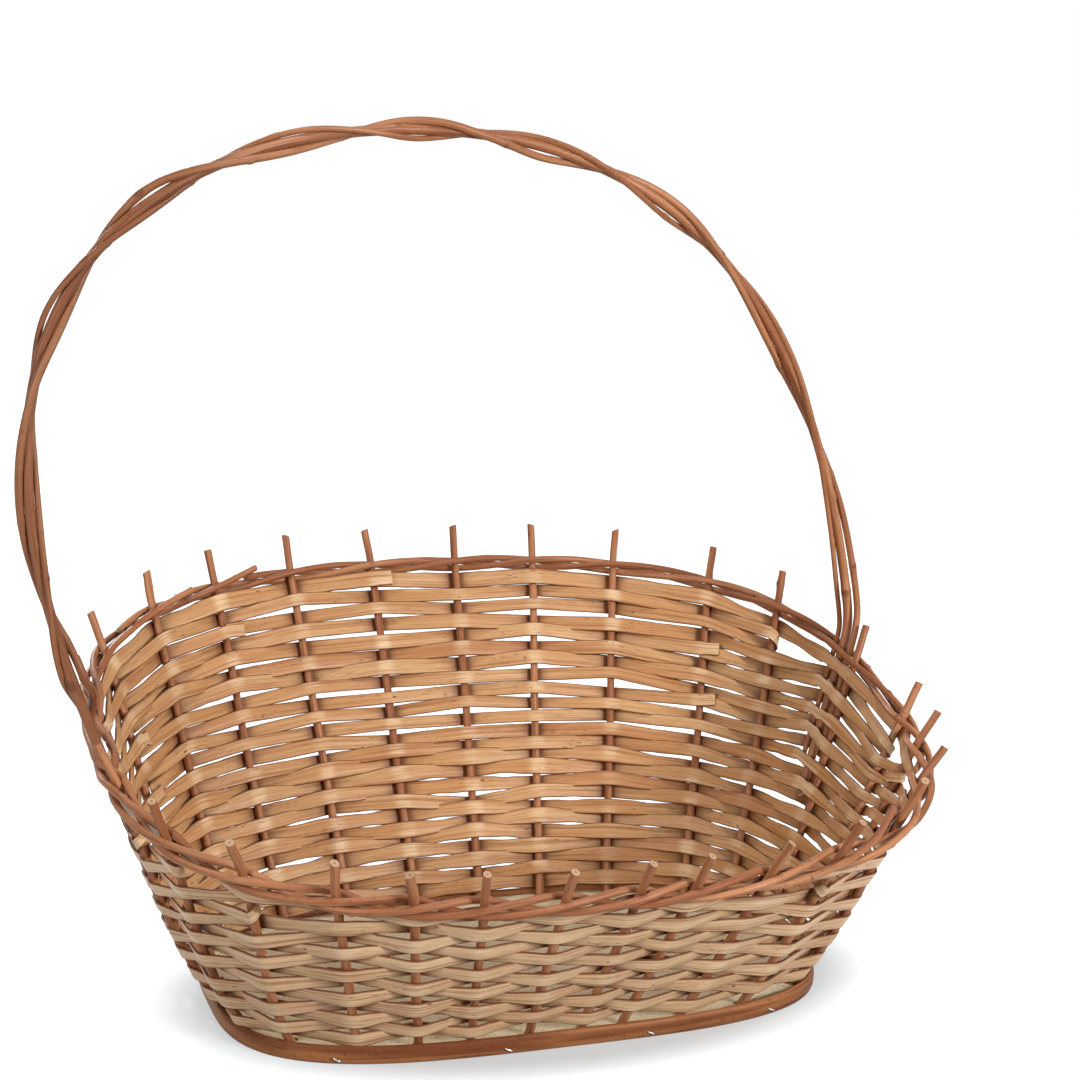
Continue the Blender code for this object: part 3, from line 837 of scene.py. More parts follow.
class Nodes:
    """Makes and joins the nodes of a tree."""

    def __init__(self, tree: NodeTree) -> None:
        """Takes the tree."""
        self.tree = tree

    def add(self, kind: str, links: dict[str | int, object] | None = None,
            **settings: object) -> Node:
        """Adds a node.

        Args:
            kind: Type name of the node.
            links: Input name or number, and the socket or value that it takes.
            settings: Properties of the node.

        Returns:
            The node.
        """
        node = self.tree.nodes.new(kind)
        for name, value in settings.items():
            setattr(node, name, value)
        for key, value in (links or {}).items():
            self.feed(node.inputs[key], value)
        return node

    def feed(self, socket: Socket, value: object) -> None:
        """Gives a socket a link or a value.

        Args:
            socket: Input of a node.
            value: Output of another node, or a plain value.
        """
        if isinstance(value, Socket):
            self.tree.links.new(value, socket)
        else:
            socket.default_value = value

    def math(self, operation: str, *values: object) -> Socket:
        """Output of a Math node."""
        links = dict(enumerate(values))
        return self.add("ShaderNodeMath", links, operation=operation).outputs[0]

    def times(self, one: object, other: object) -> Socket:
        """Product of two numbers."""
        return self.math("MULTIPLY", one, other)

    def vector(self, operation: str, *values: object) -> Socket:
        """Vector output of a Vector Math node."""
        links = dict(enumerate(values))
        return self.add("ShaderNodeVectorMath", links, operation=operation).outputs["Vector"]

    def scaled(self, value: object, factor: object) -> Socket:
        """A vector times a number."""
        node = self.add("ShaderNodeVectorMath", {0: value, "Scale": factor}, operation="SCALE")
        return node.outputs["Vector"]

    def size(self, value: object) -> Socket:
        """Length of a vector."""
        return self.add("ShaderNodeVectorMath", {0: value}, operation="LENGTH").outputs["Value"]

    def dot(self, one: object, other: object) -> Socket:
        """Dot product of two vectors."""
        node = self.add("ShaderNodeVectorMath", {0: one, 1: other}, operation="DOT_PRODUCT")
        return node.outputs["Value"]

    def split(self, value: Socket) -> list[Socket]:
        """X, Y and Z of a vector."""
        return list(self.add("ShaderNodeSeparateXYZ", {0: value}).outputs)

    def join(self, x: object = 0.0, y: object = 0.0, z: object = 0.0) -> Socket:
        """Vector of three numbers."""
        return self.add("ShaderNodeCombineXYZ", {0: x, 1: y, 2: z}).outputs[0]

    def noise(self, place: object, scale: float = 1.0, detail: float = 2.0,
              roughness: float = 0.5) -> Socket:
        """Factor of a Noise Texture."""
        links = {"Vector": place, "Scale": scale, "Detail": detail, "Roughness": roughness}
        return self.add("ShaderNodeTexNoise", links).outputs[0]

    def between(self, factor: object, low: object, high: object) -> Socket:
        """Mix of two numbers."""
        links = {"Value": factor, "To Min": low, "To Max": high}
        return self.add("ShaderNodeMapRange", links).outputs["Result"]

    def ramp(self, value: object, since: float, until: float, before: float = 0.0,
             after: float = 1.0) -> Socket:
        """Smooth change of a number while another goes through a range.

        Args:
            value: The other number.
            since: Where the range starts, which can be its higher end.
            until: Where it ends.
            before: Result where the range hasn't started.
            after: Result where it has ended.

        Returns:
            The result.
        """
        links = {"Value": value, "From Min": since, "From Max": until, "To Min": before,
                 "To Max": after}
        node = self.add("ShaderNodeMapRange", links, interpolation_type="SMOOTHSTEP")
        return node.outputs["Result"]


class Sweep(Nodes):
    """Geometry Nodes tree that sweeps a section along a path."""

    GEOMETRY = "Geometry"
    KINDS = {"Seed": "NodeSocketInt", "Sides": "NodeSocketInt", "Material": "NodeSocketMaterial"}
    SEED_SHIFT = 1.37  # metres by which each seed moves the noise along a path

    def __init__(self, name: str, inputs: Sequence[str]) -> None:
        """Makes the tree.

        Args:
            name: Name of the tree.
            inputs: Names of its inputs, besides the path.
        """
        super().__init__(bpy.data.node_groups.new(name, "GeometryNodeTree"))
        interface = self.tree.interface
        geometry = "NodeSocketGeometry"
        interface.new_socket(self.GEOMETRY, in_out="INPUT", socket_type=geometry)
        interface.new_socket(self.GEOMETRY, in_out="OUTPUT", socket_type=geometry)
        self.keys = {}
        for title in inputs:
            kind = self.KINDS.get(title, "NodeSocketFloat")
            made = interface.new_socket(title, in_out="INPUT", socket_type=kind)
            self.keys[title] = made.identifier
        self.start = self.add("NodeGroupInput").outputs
        self.build()

    def build(self) -> None:
        """Makes the tree's nodes."""
        raise NotImplementedError

    def path(self) -> Socket:
        """The path as a curve."""
        return self.add("GeometryNodeMeshToCurve", {0: self.start[self.GEOMETRY]}).outputs[0]

    def shifted(self, length: Socket) -> Socket:
        """Distance along the path, moved on by the seed, so that no two pieces match."""
        return self.math("ADD", length, self.times(self.start["Seed"], self.SEED_SHIFT))

    def position(self) -> Socket:
        """Position of each point."""
        return self.add("GeometryNodeInputPosition").outputs[0]

    def tangent(self) -> Socket:
        """Direction of the path."""
        return self.add("GeometryNodeInputTangent").outputs[0]

    def circle(self, points: object) -> Socket:
        """Circle with a radius of 1."""
        links = {"Resolution": points, "Radius": 1.0}
        return self.add("GeometryNodeCurvePrimitiveCircle", links).outputs[0]

    def named(self, name: str, kind: str = "FLOAT") -> Socket:
        """Value of an attribute of the path."""
        node = self.add("GeometryNodeInputNamedAttribute", {"Name": name}, data_type=kind)
        return node.outputs["Attribute"]

    def ripple(self, along: Socket, rate: float, row: object = 0.0,
               detail: float = 1.0) -> Socket:
        """Noise along the path with a rate of waves per metre, and a row that keeps two apart."""
        return self.noise(self.join(self.times(along, rate), row), detail=detail)

    def swing(self, noise: Socket, most: object) -> Socket:
        """Noise moved to lie round 0, times a number."""
        return self.times(self.math("SUBTRACT", noise, 0.5), most)

    def keep(self, geometry: Socket, kind: str,
             value: Socket) -> tuple[Socket, Socket]:
        """Keeps a value with a geometry, for use after the sweep.

        Args:
            geometry: Geometry that keeps the value.
            kind: Type of the value.
            value: The value.

        Returns:
            The geometry and the kept value.
        """
        node = self.add("GeometryNodeCaptureAttribute", {0: geometry})
        node.capture_items.new(kind, "kept")
        self.feed(node.inputs[1], value)
        return node.outputs[0], node.outputs[1]

    def swept(self, curve: Socket, profile: Socket, scale: object) -> Socket:
        """Mesh of a profile swept along a curve, with closed ends."""
        links = {"Curve": curve, "Profile Curve": profile, "Scale": scale, "Fill Caps": True}
        return self.add("GeometryNodeCurveToMesh", links).outputs[0]

    def moved(self, mesh: Socket, offset: Socket) -> Socket:
        """Mesh with its points moved."""
        return self.add("GeometryNodeSetPosition", {"Geometry": mesh, "Offset": offset}).outputs[0]

    def close(self, mesh: Socket, grain: Socket, around: Socket) -> None:
        """Stores what the finishes read, shades the mesh smooth and ends the tree.

        Args:
            mesh: Mesh of the piece.
            grain: Place along the grain and across it, in metres.
            around: Place round the section, and a knot's bud or a stake's painted light and shade.
        """
        for name, value in ((GRAIN, grain), (AROUND, around)):
            links = {"Geometry": mesh, "Name": name, "Value": value}
            mesh = self.add("GeometryNodeStoreNamedAttribute", links, data_type="FLOAT_VECTOR",
                            domain="POINT").outputs[0]
        smooth = self.add("GeometryNodeSetShadeSmooth", {0: mesh}).outputs[0]
        realized = self.add("GeometryNodeRealizeInstances", {0: smooth}).outputs[0]
        links = {"Geometry": realized, "Material": self.start["Material"]}
        finished = self.add("GeometryNodeSetMaterial", links).outputs[0]
        self.add("NodeGroupOutput", {0: finished})

    def run(self, name: str, path: Mesh, values: dict[str, object]) -> Object:
        """Sweeps along a path.

        Args:
            name: Name of the piece.
            path: Mesh of edges with the attributes that the tree reads.
            values: Value of each input of the tree.

        Returns:
            The piece, as a plain mesh.
        """
        guide = new_object(name + "_path", path)
        modifier = guide.modifiers.new("sweep", "NODES")
        modifier.node_group = self.tree
        for title, value in values.items():
            modifier[self.keys[title]] = value
        depsgraph = bpy.context.evaluated_depsgraph_get()
        mesh = bpy.data.meshes.new_from_object(
            guide.evaluated_get(depsgraph), preserve_all_data_layers=True, depsgraph=depsgraph)
        bpy.data.objects.remove(guide)
        mesh.name = name
        return new_object(name, mesh)


class RodSweep(Sweep):
    """Round willow rod: uneven girth, one-sided knots and slanting cut ends."""

    INPUTS = ("Radius", "Taper", "Unevenness", "Knot Spacing", "Knot Swell", "Cut Slant",
              "Seed", "Sides", "Material")
    GIRTH_WAVES = 22.0
    KNOT_WAVES = 9.0
    KNOT_WANDER = 1.5  # how far a knot strays from even spacing, in spacings
    KNOT_REACH = 0.0045
    KNOT_TURN = 2.4  # angle round the rod from one knot to the next
    COLLAR = 0.35  # swelling all round a knot, in shares of the bud's
    CUT_FACE = 0.9999  # distance from the rod's middle to its end face, in half lengths

    def __init__(self) -> None:
        """Makes the tree for rods."""
        super().__init__("willow_rod", self.INPUTS)

    def build(self) -> None:
        """Makes the tree's nodes."""
        radius = self.start["Radius"]
        curve = self.path()
        spline = self.add("GeometryNodeSplineParameter").outputs
        curve, along = self.keep(curve, "FLOAT", self.shifted(spline["Length"]))
        curve, share = self.keep(curve, "FLOAT", spline["Factor"])
        curve, middle = self.keep(curve, "VECTOR", self.position())
        curve, ahead = self.keep(curve, "VECTOR", self.tangent())
        circle, around = self.keep(self.circle(self.start["Sides"]), "VECTOR", self.position())
        swept = self.swept(curve, circle, self.girth(along, share))
        knot, bud = self.knots(along, around)
        swell = self.times(self.math("MULTIPLY_ADD", knot, self.COLLAR, bud),
                           self.times(self.start["Knot Swell"], radius))
        outwards = self.vector("NORMALIZE", self.vector("SUBTRACT", self.position(), middle))
        move = self.vector("ADD", self.scaled(outwards, swell),
                           self.scaled(ahead, self.cut(share, around)))
        across_x, across_y, _ = self.split(self.scaled(around, radius))
        grain = self.join(along, across_x, across_y)
        around = self.vector("ADD", around, self.join(0.0, 0.0, bud))
        self.close(self.moved(swept, move), grain, around)

    def girth(self, along: Socket, share: Socket) -> Socket:
        """Radius along the rod, uneven and tapered.

        Args:
            along: Distance along the rod.
            share: Share of its length.

        Returns:
            The radius.
        """
        uneven = self.swing(self.ripple(along, self.GIRTH_WAVES), 2.0)
        uneven = self.math("MULTIPLY_ADD", uneven, self.start["Unevenness"], 1.0)
        taper = self.math("SUBTRACT", self.start["Taper"], 1.0)
        taper = self.math("MULTIPLY_ADD", taper, share, 1.0)
        return self.times(self.start["Radius"], self.times(uneven, taper))

    def knots(self, along: Socket, around: Socket) -> tuple[Socket, Socket]:
        """Knots along the rod, each with a bud on one side.

        Args:
            along: Distance along the rod.
            around: Place round its section.

        Returns:
            How near a knot is, and how near its bud, from 0 to 1.
        """
        spacing = self.start["Knot Spacing"]
        wander = self.ripple(along, self.KNOT_WAVES, detail=0.0)
        count = self.math("DIVIDE", along, spacing)
        count = self.math("MULTIPLY_ADD", wander, self.KNOT_WANDER, count)
        off = self.math("ABSOLUTE", self.math("SUBTRACT", self.math("FRACT", count), 0.5))
        knot = self.ramp(self.times(off, spacing), 0.0, self.KNOT_REACH, 1.0, 0.0)
        facing = self.times(self.math("FLOOR", count), self.KNOT_TURN)
        side = self.join(self.math("COSINE", facing), self.math("SINE", facing))
        bud = self.times(self.math("MAXIMUM", self.dot(side, around), 0.0), knot)
        return knot, bud

    def cut(self, share: Socket, around: Socket) -> Socket:
        """Distance along the rod by which its end faces slant.

        Args:
            share: Share of the rod's length.
            around: Place round its section.

        Returns:
            The distance, which is 0 away from the ends.
        """
        at_end = self.math("ABSOLUTE", self.math("MULTIPLY_ADD", share, 2.0, -1.0))
        at_end = self.math("GREATER_THAN", at_end, self.CUT_FACE)
        return self.times(self.times(at_end, self.start["Cut Slant"]),
                          self.times(self.split(around)[0], self.start["Radius"]))


class StripSweep(Sweep):
    """Flat strip of split willow: uneven width, ragged edges, slow waves and a slight cup."""

    INPUTS = ("Width", "Thickness", "Roundness", "Width Change", "Raggedness", "Waviness",
              "Cup", "Seed", "Material")
    SECTION_POINTS = 12
    WIDTH_WAVES, WIDTH_ROW = 14.0, 3.0
    TEAR_WAVES, TEAR_DETAIL = 90.0, 3.0
    SWAY_WAVES, SWAY_ROW = 11.0, 7.0

    def __init__(self) -> None:
        """Makes the tree for strips."""
        super().__init__("willow_strip", self.INPUTS)

    def rounded(self, value: Socket) -> Socket:
        """Sine or cosine turned into the side of a flat section with round edges."""
        sharp = self.math("POWER", self.math("ABSOLUTE", value), self.start["Roundness"])
        return self.times(self.math("SIGN", value), sharp)

    def build(self) -> None:
        """Makes the tree's nodes."""
        curve = self.path()
        length = self.add("GeometryNodeSplineParameter").outputs["Length"]
        curve, along = self.keep(curve, "FLOAT", self.shifted(length))
        curve, spread = self.keep(curve, "FLOAT", self.named("spread"))
        curve, tuck = self.keep(curve, "FLOAT", self.named("tuck"))
        curve, outer = self.keep(curve, "FLOAT", self.named("outer"))
        curve, rise = self.keep(curve, "VECTOR", self.named("rise", "FLOAT_VECTOR"))
        facing = self.vector("NORMALIZE", self.vector("CROSS_PRODUCT", rise, self.tangent()))
        curve, facing = self.keep(curve, "VECTOR", facing)
        curve = self.add("GeometryNodeSetCurveNormal", {"Curve": curve, "Normal": facing},
                         mode="FREE").outputs[0]
        round_x, round_y, _ = self.split(self.position())
        section = self.join(self.rounded(round_x), self.rounded(round_y))
        circle, around = self.keep(self.circle(self.SECTION_POINTS), "VECTOR", section)
        half_width = self.times(self.start["Width"], 0.5)
        half_thick = self.times(self.start["Thickness"], 0.5)
        depth, across, _ = self.split(around)
        thick_at = self.times(depth, half_thick)
        wide_at = self.times(across, half_width)
        links = {"Geometry": circle, "Position": self.join(thick_at, wide_at)}
        profile = self.add("GeometryNodeSetPosition", links).outputs[0]
        swept = self.swept(curve, profile, 1.0)
        change = self.width_change(along, across, spread)
        wider = self.times(self.times(across, change), half_width)
        sway = self.swing(self.ripple(along, self.SWAY_WAVES, self.SWAY_ROW),
                          self.start["Waviness"])
        cup = self.times(self.times(across, across), self.start["Cup"])
        move = self.vector("ADD", self.scaled(rise, self.math("ADD", wider, sway)),
                           self.scaled(facing, cup))
        # Painted light and shade: the stake value below is above 0 on a face that bends over a
        # stake, where a highlight is painted, and below 0 on a face that lies behind one, where
        # shade is painted.
        post_shading = self.times(tuck, self.math("SIGN", depth))
        # face is above 0 on outer faces, which are painted lighter, and below 0 on inner faces,
        # which are painted darker.
        face = self.times(outer, depth)
        self.close(self.moved(swept, move), self.join(along, wide_at, thick_at),
                   self.join(face, across, post_shading))

    def width_change(self, along: Socket, across: Socket, spread: Socket) -> Socket:
        """Change of the width along the strip, in shares of it, with ragged edges.

        Args:
            along: Distance along the strip.
            across: Place across it, from -1 to 1.
            spread: Change that the path asks for.

        Returns:
            The change.
        """
        slow = self.swing(self.ripple(along, self.WIDTH_WAVES, self.WIDTH_ROW),
                          self.start["Width Change"])
        edge = self.math("SIGN", across)
        torn = self.swing(self.ripple(along, self.TEAR_WAVES, edge, self.TEAR_DETAIL),
                          self.start["Raggedness"])
        return self.math("ADD", self.math("MULTIPLY_ADD", slow, 2.0, spread), torn)


def new_object(name: str, data: bpy.types.ID) -> Object:
    """Object in the scene.

    Args:
        name: Name of the object.
        data: Mesh, light or camera that it shows.

    Returns:
        The object.
    """
    made = bpy.data.objects.new(name, data)
    bpy.context.scene.collection.objects.link(made)
    return made


def path_mesh(name: str, points: Sequence[Vector],
              attributes: dict[str, Sequence[Vector] | Sequence[float]]) -> Mesh:
    """Mesh of one run of edges with attributes on its points.

    Args:
        name: Name of the mesh.
        points: Points of the run.
        attributes: Name of each attribute, and its vectors or numbers, one per point.

    Returns:
        The mesh.
    """
    mesh = bpy.data.meshes.new(name)
    mesh.from_pydata(points, [(i, i + 1) for i in range(len(points) - 1)], [])
    for title, values in attributes.items():
        data = np.array(values, dtype=np.float32)
        kind, part = ("FLOAT_VECTOR", "vector") if data.ndim == 2 else ("FLOAT", "value")
        mesh.attributes.new(title, kind, "POINT").data.foreach_set(part, data.ravel())
    return mesh


# ---- finishes


@dataclass(frozen=True)
class Fade:
    """Smooth change of a number from before to after, while another goes from since to until."""

    since: float
    until: float
    after: float = 1.0
    before: float = 0.0


@dataclass(frozen=True)
class Streaks:
    """Noise with its own scale along the grain and across it, and where it shows."""

    along: float
    across: float
    shows: Fade
    shift: float = 0.0
    detail: float = 2.0
    roughness: float = 0.5


class Finish(Nodes):
    """A procedural material with a Principled shader."""

    MIX_FACTOR, MIX_LOW, MIX_HIGH, MIX_RESULT = 0, 6, 7, 2  # sockets of a Mix node for colours

    def __init__(self, name: str, roughness: float, metallic: float = 0.0,
                 gloss: float = 0.5) -> None:
        """Makes the material.

        Args:
            name: Name of the material.
            roughness: Roughness of the shader.
            metallic: 1 for bare metal, 0 for the rest.
            gloss: Specular level of the shader.
        """
        self.material = bpy.data.materials.new(name)
        self.material.use_nodes = True
        super().__init__(self.material.node_tree)
        self.shader = self.tree.nodes["Principled BSDF"]
        self.give("Roughness", roughness)
        self.give("Metallic", metallic)
        self.give("Specular IOR Level", gloss)

    def stored(self, name: str) -> Socket:
        """Attribute that the sweeps store on a piece."""
        return self.add("ShaderNodeAttribute", attribute_name=name).outputs["Vector"]

    def in_object(self) -> Socket:
        """Place in the piece's own coordinates."""
        return self.add("ShaderNodeTexCoord").outputs["Object"]

    def stretched(self, place: object, along: float, across: float,
                  shift: float = 0.0) -> Socket:
        """Place on a rod or strip with its own scale along the grain and across it."""
        scaled = self.vector("MULTIPLY", place, (along, across, across))
        return self.vector("ADD", scaled, (shift, shift, shift))

    def streaks(self, place: object, look: Streaks) -> Socket:
        """Noise of streaks."""
        place = self.stretched(place, look.along, look.across, look.shift)
        return self.noise(place, detail=look.detail, roughness=look.roughness)

    def fade(self, value: object, look: Fade) -> Socket:
        """Number that fades in or out with another."""
        return self.ramp(value, look.since, look.until, look.before, look.after)

    def mask(self, place: object, look: Streaks) -> Socket:
        """How strongly streaks show at a place."""
        return self.fade(self.streaks(place, look), look.shows)

    def mix(self, factor: object, low: object, high: object) -> Socket:
        """Mix of two colours.

        Args:
            factor: 0 for the first colour and 1 for the second.
            low: The first colour.
            high: The second colour.

        Returns:
            The mix.
        """
        node = self.add("ShaderNodeMix", data_type="RGBA")
        colours = ((self.MIX_FACTOR, factor), (self.MIX_LOW, low), (self.MIX_HIGH, high))
        for key, value in colours:
            if isinstance(value, tuple):
                value = (*value, 1.0)
            self.feed(node.inputs[key], value)
        return node.outputs[self.MIX_RESULT]

    def layered(self, colour: object, layers: Iterable[tuple[Socket, object]]) -> object:
        """Colour under layers of others.

        Args:
            colour: The lowest colour.
            layers: How strongly each layer shows, and its colour, from the lowest up.

        Returns:
            The colour that is seen.
        """
        for strength, tint in layers:
            colour = self.mix(strength, colour, tint)
        return colour

    def give(self, title: str, value: object) -> None:
        """Sets an input of the shader."""
        self.feed(self.shader.inputs[title], value)

    def bump(self, height: object, distance: float, strength: float) -> None:
        """Adds a bump of a height in shares of a distance."""
        links = {"Height": height, "Distance": distance, "Strength": strength}
        self.give("Normal", self.add("ShaderNodeBump", links).outputs[0])


@dataclass(frozen=True)
class SplitWillow:
    """Split peeled willow: pale to golden, with long streaks, dark flecks and small knots."""

    name: str = "split_willow"
    roughness: float = 0.4
    gloss: float = 0.18
    pale: Colour = (0.66, 0.42, 0.215)
    golden: Colour = (0.55, 0.28, 0.112)
    ruddy: Colour = (0.46, 0.195, 0.085)
    streak: Colour = (0.29, 0.112, 0.04)
    # Colour of the painted shade behind stakes and along the strips' edges.
    shade: Colour = (0.14, 0.040, 0.014)
    # Colour of the painted highlight where a strip bends over a stake.
    sheen: Colour = (0.90, 0.69, 0.45)
    # Painted light on outer faces and painted shade on inner faces, which are mixed towards these
    # two colours.
    outside: Colour = (0.84, 0.63, 0.42)
    inside: Colour = (0.41, 0.20, 0.083)
    fleck: Colour = (0.10, 0.035, 0.014)
    tone: Streaks = Streaks(5.0, 30.0, Fade(0.40, 0.62))
    blush: Streaks = Streaks(2.3, 12.0, Fade(0.50, 0.72), shift=4.0, detail=1.0)
    # Patches where the painted highlight over the stakes is stronger or weaker.
    wear_and_sheen: Streaks = Streaks(14.0, 60.0, Fade(0.40, 0.62, 0.48, 0.10), shift=6.0)
    band: Streaks = Streaks(11.0, 650.0, Fade(0.48, 0.72, 0.85), 9.0, 4.0, 0.6)
    fibre: Streaks = Streaks(60.0, 1700.0, Fade(0.48, 0.72, 0.70), 2.0, 3.0, 0.7)
    dash: Streaks = Streaks(210.0, 1500.0, Fade(0.64, 0.70), shift=5.0, detail=1.0)
    patch: Streaks = Streaks(18.0, 90.0, Fade(0.52, 0.64), shift=3.0)
    # How far outer faces are painted lighter and inner faces darker.
    lit_outer_face: Fade = Fade(0.0, 0.2, 0.42)
    shaded_inner_face: Fade = Fade(0.0, -0.2, 0.50)
    pale_band: Fade = Fade(0.46, 0.30, 0.45)
    # Painted highlight on a strip's face where it bends over a stake.
    crest: Fade = Fade(0.0, 1.0)
    crest_power: float = 3.0
    # Painted shade on a strip's face where it lies behind a stake.
    post_shadow: Fade = Fade(0.0, -1.0, 0.92)
    # Painted shade along the strips' edges, where neighbouring strips shadow them.
    edge: Fade = Fade(0.78, 0.98, 0.95)
    knot_cells: tuple[float, float] = (60.0, 115.0)
    knot_size: Fade = Fade(0.10, 0.05)
    knot_choice: Fade = Fade(0.80, 0.82)
    dash_strength: float = 0.8
    knot_strength: float = 0.85
    roughness_range: Fade = Fade(0.3, 0.7, 0.50, 0.32)
    fibre_height: float = 0.5
    relief: float = 0.00022
    relief_strength: float = 0.6

    def knots(self, finish: Finish, grain: Socket) -> Socket:
        """Small round knots in a few cells of a grid.

        Args:
            finish: The finish that gets them.
            grain: Place along the grain and across it.

        Returns:
            1 in a knot, and 0 elsewhere.
        """
        links = {"Vector": finish.stretched(grain, *self.knot_cells), "Scale": 1.0,
                 "Randomness": 1.0}
        cells = finish.add("ShaderNodeTexVoronoi", links).outputs
        chosen = finish.fade(finish.split(cells["Color"])[0], self.knot_choice)
        return finish.times(finish.fade(cells["Distance"], self.knot_size), chosen)

    def make(self) -> Material:
        """Builds the material.

        Returns:
            The material.
        """
        finish = Finish(self.name, self.roughness, gloss=self.gloss)
        grain = finish.stored(GRAIN)
        face, across, post_shading = finish.split(finish.stored(AROUND))
        band = finish.streaks(grain, self.band)
        fibre = finish.streaks(grain, self.fibre)
        # Painted highlight over the stakes, broken into patches.
        crest = finish.math("POWER", finish.fade(post_shading, self.crest), self.crest_power)
        crest = finish.times(crest, finish.mask(grain, self.wear_and_sheen))
        dash = finish.times(finish.mask(grain, self.dash), finish.mask(grain, self.patch))
        knot = self.knots(finish, grain)
        # Of these layers, the outer and inner faces, the highlight over stakes, and the shade behind
        # stakes and along edges are painted light and shade.
        finish.give("Base Color", finish.layered(self.golden, (
            (finish.mask(grain, self.tone), self.pale),
            (finish.mask(grain, self.blush), self.ruddy),
            (finish.fade(face, self.lit_outer_face), self.outside),
            (finish.fade(face, self.shaded_inner_face), self.inside),
            (crest, self.sheen),
            (finish.fade(band, self.band.shows), self.streak),
            (finish.fade(band, self.pale_band), self.pale),
            (finish.fade(fibre, self.fibre.shows), self.streak),
            (finish.times(dash, self.dash_strength), self.fleck),
            (finish.times(knot, self.knot_strength), self.fleck),
            (finish.fade(post_shading, self.post_shadow), self.shade),
            (finish.fade(finish.math("ABSOLUTE", across), self.edge), self.shade))))
        finish.give("Roughness", finish.fade(band, self.roughness_range))
        height = finish.math("MULTIPLY_ADD", fibre, self.fibre_height, band)
        height = finish.math("SUBTRACT", height, finish.math("ADD", dash, knot))
        finish.bump(height, self.relief, self.relief_strength)
        return finish.material


@dataclass(frozen=True)
class SteamedWillow:
    """Round steamed willow: reddish bark with wear along its length, with pale cut ends."""

    name: str = "steamed_willow"
    roughness: float = 0.42
    gloss: float = 0.2
    bark: Colour = (0.28, 0.097, 0.038)
    light: Colour = (0.44, 0.19, 0.086)
    dark: Colour = (0.085, 0.023, 0.010)
    cut: Colour = (0.52, 0.36, 0.22)
    pith: Colour = (0.20, 0.09, 0.04)
    tone: Streaks = Streaks(9.0, 160.0, Fade(0.36, 0.64))
    band: Streaks = Streaks(26.0, 900.0, Fade(0.48, 0.78, 0.75), 6.0, 3.0, 0.6)
    cross: Streaks = Streaks(380.0, 420.0, Fade(0.60, 0.76, 0.45), shift=2.0)
    pores: Streaks = Streaks(330.0, 900.0, Fade(0.72, 0.75), shift=8.0, detail=1.0)
    rings: Streaks = Streaks(7.0, 7.0, Fade(0.35, 0.75, 0.5), shift=3.0, detail=3.0)
    # Painted shade towards the left end, between these two x values; the next field sets how strong
    # it is.
    left_end: tuple[float, float] = (-0.06, -0.23)
    left_shade: float = 0.0
    scar: Fade = Fade(0.55, 0.85)
    cut_face: Fade = Fade(0.93, 0.88)
    pith_size: Fade = Fade(0.26, 0.16)
    pore_strength: float = 0.6
    scar_strength: float = 0.6
    roughness_range: Fade = Fade(0.3, 0.7, 0.52, 0.34)
    cut_roughness: float = 0.8
    cross_height: float = 0.25
    pore_depth: float = 0.5
    relief: float = 0.00018
    relief_strength: float = 0.45

    def make(self) -> Material:
        """Builds the material.

        Returns:
            The material.
        """
        finish = Finish(self.name, self.roughness, gloss=self.gloss)
        grain = finish.stored(GRAIN)
        around = finish.stored(AROUND)
        x, y, bud = finish.split(around)
        reach = finish.size(finish.join(x, y))
        band = finish.streaks(grain, self.band)
        cross = finish.streaks(grain, self.cross)
        pores = finish.mask(grain, self.pores)
        left_shade_fade = Fade(*self.left_end, self.left_shade)
        end = finish.layered(self.cut, ((finish.mask(around, self.rings), self.bark),
                                        (finish.fade(reach, self.pith_size), self.pith)))
        at_end = finish.fade(reach, self.cut_face)
        finish.give("Base Color", finish.layered(self.bark, (
            (finish.mask(grain, self.tone), self.light),
            (finish.fade(band, self.band.shows), self.dark),
            (finish.fade(cross, self.cross.shows), self.dark),
            (finish.times(pores, self.pore_strength), self.light),
            # Painted shade towards the left, where the bow's left leg lies in shade.
            (finish.fade(finish.split(finish.in_object())[0], left_shade_fade), self.dark),
            (finish.times(finish.fade(bud, self.scar), self.scar_strength), self.dark),
            (at_end, end))))
        wear_and_sheen = finish.fade(band, self.roughness_range)
        finish.give("Roughness", finish.between(at_end, wear_and_sheen, self.cut_roughness))
        height = finish.math("MULTIPLY_ADD", cross, self.cross_height, band)
        height = finish.math("SUBTRACT", height, finish.times(pores, self.pore_depth))
        finish.bump(height, self.relief, self.relief_strength)
        return finish.material


# The bow's finish has painted shade on its left leg.
BOW_WILLOW = SteamedWillow("bow_willow", gloss=0.22, left_shade=0.40)
BROWN_WILLOW = SteamedWillow("brown_willow", gloss=0.1, bark=(0.16, 0.050, 0.018),
                             light=(0.34, 0.135, 0.052), dark=(0.05, 0.015, 0.007))


